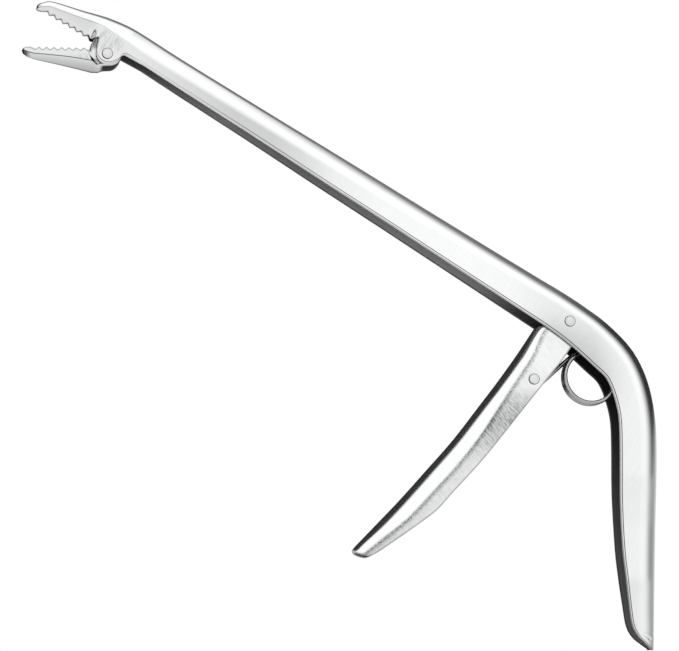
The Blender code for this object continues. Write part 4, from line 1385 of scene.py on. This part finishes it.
def make_camera():
    target = Vector((-0.0751 + PIVOT_X * MM, 0.0, -0.0029 + PIVOT_Z * MM))
    data = bpy.data.cameras.new("camera")
    data.sensor_fit = "HORIZONTAL"
    data.sensor_width = SENSOR_WIDTH
    data.lens = LENS
    data.clip_start, data.clip_end = 0.05, 20.0
    camera = bpy.data.objects.new("camera", data)
    bpy.context.scene.collection.objects.link(camera)
    rows = [
        (right[k], up[k], back[k], target[k] + back[k] * CAMERA_DISTANCE) for k in range(3)
    ]
    camera.matrix_world = Matrix((*rows, (0, 0, 0, 1)))
    bpy.context.scene.camera = camera


make_camera()

# ---- studio world --------------------------------------------------------------------
# "clock" is the direction round the camera's axis in degrees: 0 overhead, 90 to the right.
# (cosine to the camera's up, brightness): the big front light fades into a pale grey table below
FRONT_LIGHT = [
    (-0.97, 0.86), (-0.6, 0.9), (-0.4, 0.93), (-0.25, 0.95), (-0.1, 0.97), (0.12, 1.0),
    (0.27, 1.03), (0.5, 1.08),
]
# (clock, share) of a white card on the right, low down, for the walls that lean in
CARD_SHARE = [(-180, 0.0), (62, 0.0), (84, 1.0), (150, 1.0), (166, 0.0), (180, 0.0)]
CARD_LEVEL = 0.88
# (clock, degrees from the camera's side) where the front light begins to fade
FADE_START = [
    (-180, 112), (-145, 112), (-115, 78), (-28, 76), (-14, 98), (22, 98), (31, 98), (32.6, 92),
    (34, 72), (35, 66), (38, 62), (45, 56), (60, 50), (95, 50), (130, 100), (150, 112), (180, 112),
]
# (clock, degrees from the camera's side) where it has gone
FADE_END = [
    (-180, 156), (-145, 154), (-115, 96), (-28, 94), (-14, 136), (22, 132), (31, 130), (33, 125),
    (36, 116), (38, 110), (45, 108), (60, 104), (95, 104), (130, 140), (150, 156), (180, 156),
]
# (clock, brightness) of the gap beyond it
GAP_LEVEL = [
    (-180, 0.14), (-140, 0.1), (-115, 0.02), (-24, 0.02), (-8, 0.14), (20, 0.16), (30, 0.15),
    (33, 0.19), (37, 0.12), (46, 0.03), (78, 0.025), (82, 0.06), (85, 0.2), (88, 0.38), (98, 0.4),
    (110, 0.85), (145, 0.85), (160, 0.14), (180, 0.14),
]
# (clock, share) of white paper far behind the tool, seen only at grazing angles
PAPER_SHARE = [(-180, 0.0), (84, 0.0), (89, 1.0), (120, 1.0), (130, 0.0), (180, 0.0)]
PAPER_AWAY = (124, 136)  # degrees from the camera's side over which it comes in
PAPER_LEVEL = 0.6


def studio_level(graph):
    """Brightness that the steel reflects from each direction."""
    coordinate = graph.add("ShaderNodeTexCoord")

    def facing(axis):
        """Cosine between the looked-at direction and an axis."""
        node = graph.add("ShaderNodeVectorMath", operation="DOT_PRODUCT")
        graph.link(coordinate.outputs["Generated"], node.inputs[0])
        node.inputs[1].default_value = tuple(axis)
        return node.outputs["Value"]

    def blend_in(base, other, mask):
        """base where mask is 0, other where it is 1."""
        return graph.plus(graph.darken(base, mask), graph.times(mask, other))

    toward, upward, sideways = facing(back), facing(up), facing(right)
    degrees = 180 / math.pi
    away = graph.times(graph.math(toward, "ARCCOSINE"), degrees)
    clock = graph.times(graph.math(sideways, "ARCTAN2", upward), degrees)

    front = graph.reading(upward, FRONT_LIGHT)
    front = blend_in(front, CARD_LEVEL, graph.reading(clock, CARD_SHARE))
    fade = graph.reading(clock, FADE_START)
    gone = graph.reading(clock, FADE_END)
    gap = graph.reading(clock, GAP_LEVEL)
    share = graph.math(graph.minus(away, fade), "DIVIDE", graph.minus(gone, fade))
    share = graph.spread(share, over=(0.0, 1.0), to=(0.0, 1.0), smooth=True)
    level = blend_in(front, gap, share)
    paper = graph.spread(away, over=PAPER_AWAY, to=(0.0, 1.0), smooth=True)
    paper = graph.times(paper, graph.reading(clock, PAPER_SHARE))
    return blend_in(level, PAPER_LEVEL, paper)


def make_world(scene):
    """Plain white, but the steel reflects soft boxes and the dark gaps between them."""
    world = bpy.data.worlds.new("studio")
    scene.world = world
    world.use_nodes = True
    graph = Graph(world.node_tree)
    graph.tree.nodes.clear()
    level = studio_level(graph)
    white = graph.add("ShaderNodeBackground")
    white.inputs["Color"].default_value = (1, 1, 1, 1)
    white.inputs["Strength"].default_value = 1.0
    studio = graph.add("ShaderNodeBackground")
    colour = graph.add("ShaderNodeCombineColor")
    for k in range(3):
        graph.link(level, colour.inputs[k])
    graph.link(colour.outputs["Color"], studio.inputs["Color"])
    rays = graph.add("ShaderNodeLightPath")
    mix = graph.add("ShaderNodeMixShader")
    graph.link(rays.outputs["Is Glossy Ray"], mix.inputs["Fac"])
    graph.link(white.outputs["Background"], mix.inputs[1])
    graph.link(studio.outputs["Background"], mix.inputs[2])
    output = graph.add("ShaderNodeOutputWorld")
    graph.link(mix.outputs["Shader"], output.inputs["Surface"])


scene = bpy.context.scene
scene.view_settings.view_transform = "Standard"
scene.view_settings.look = "None"
make_world(scene)
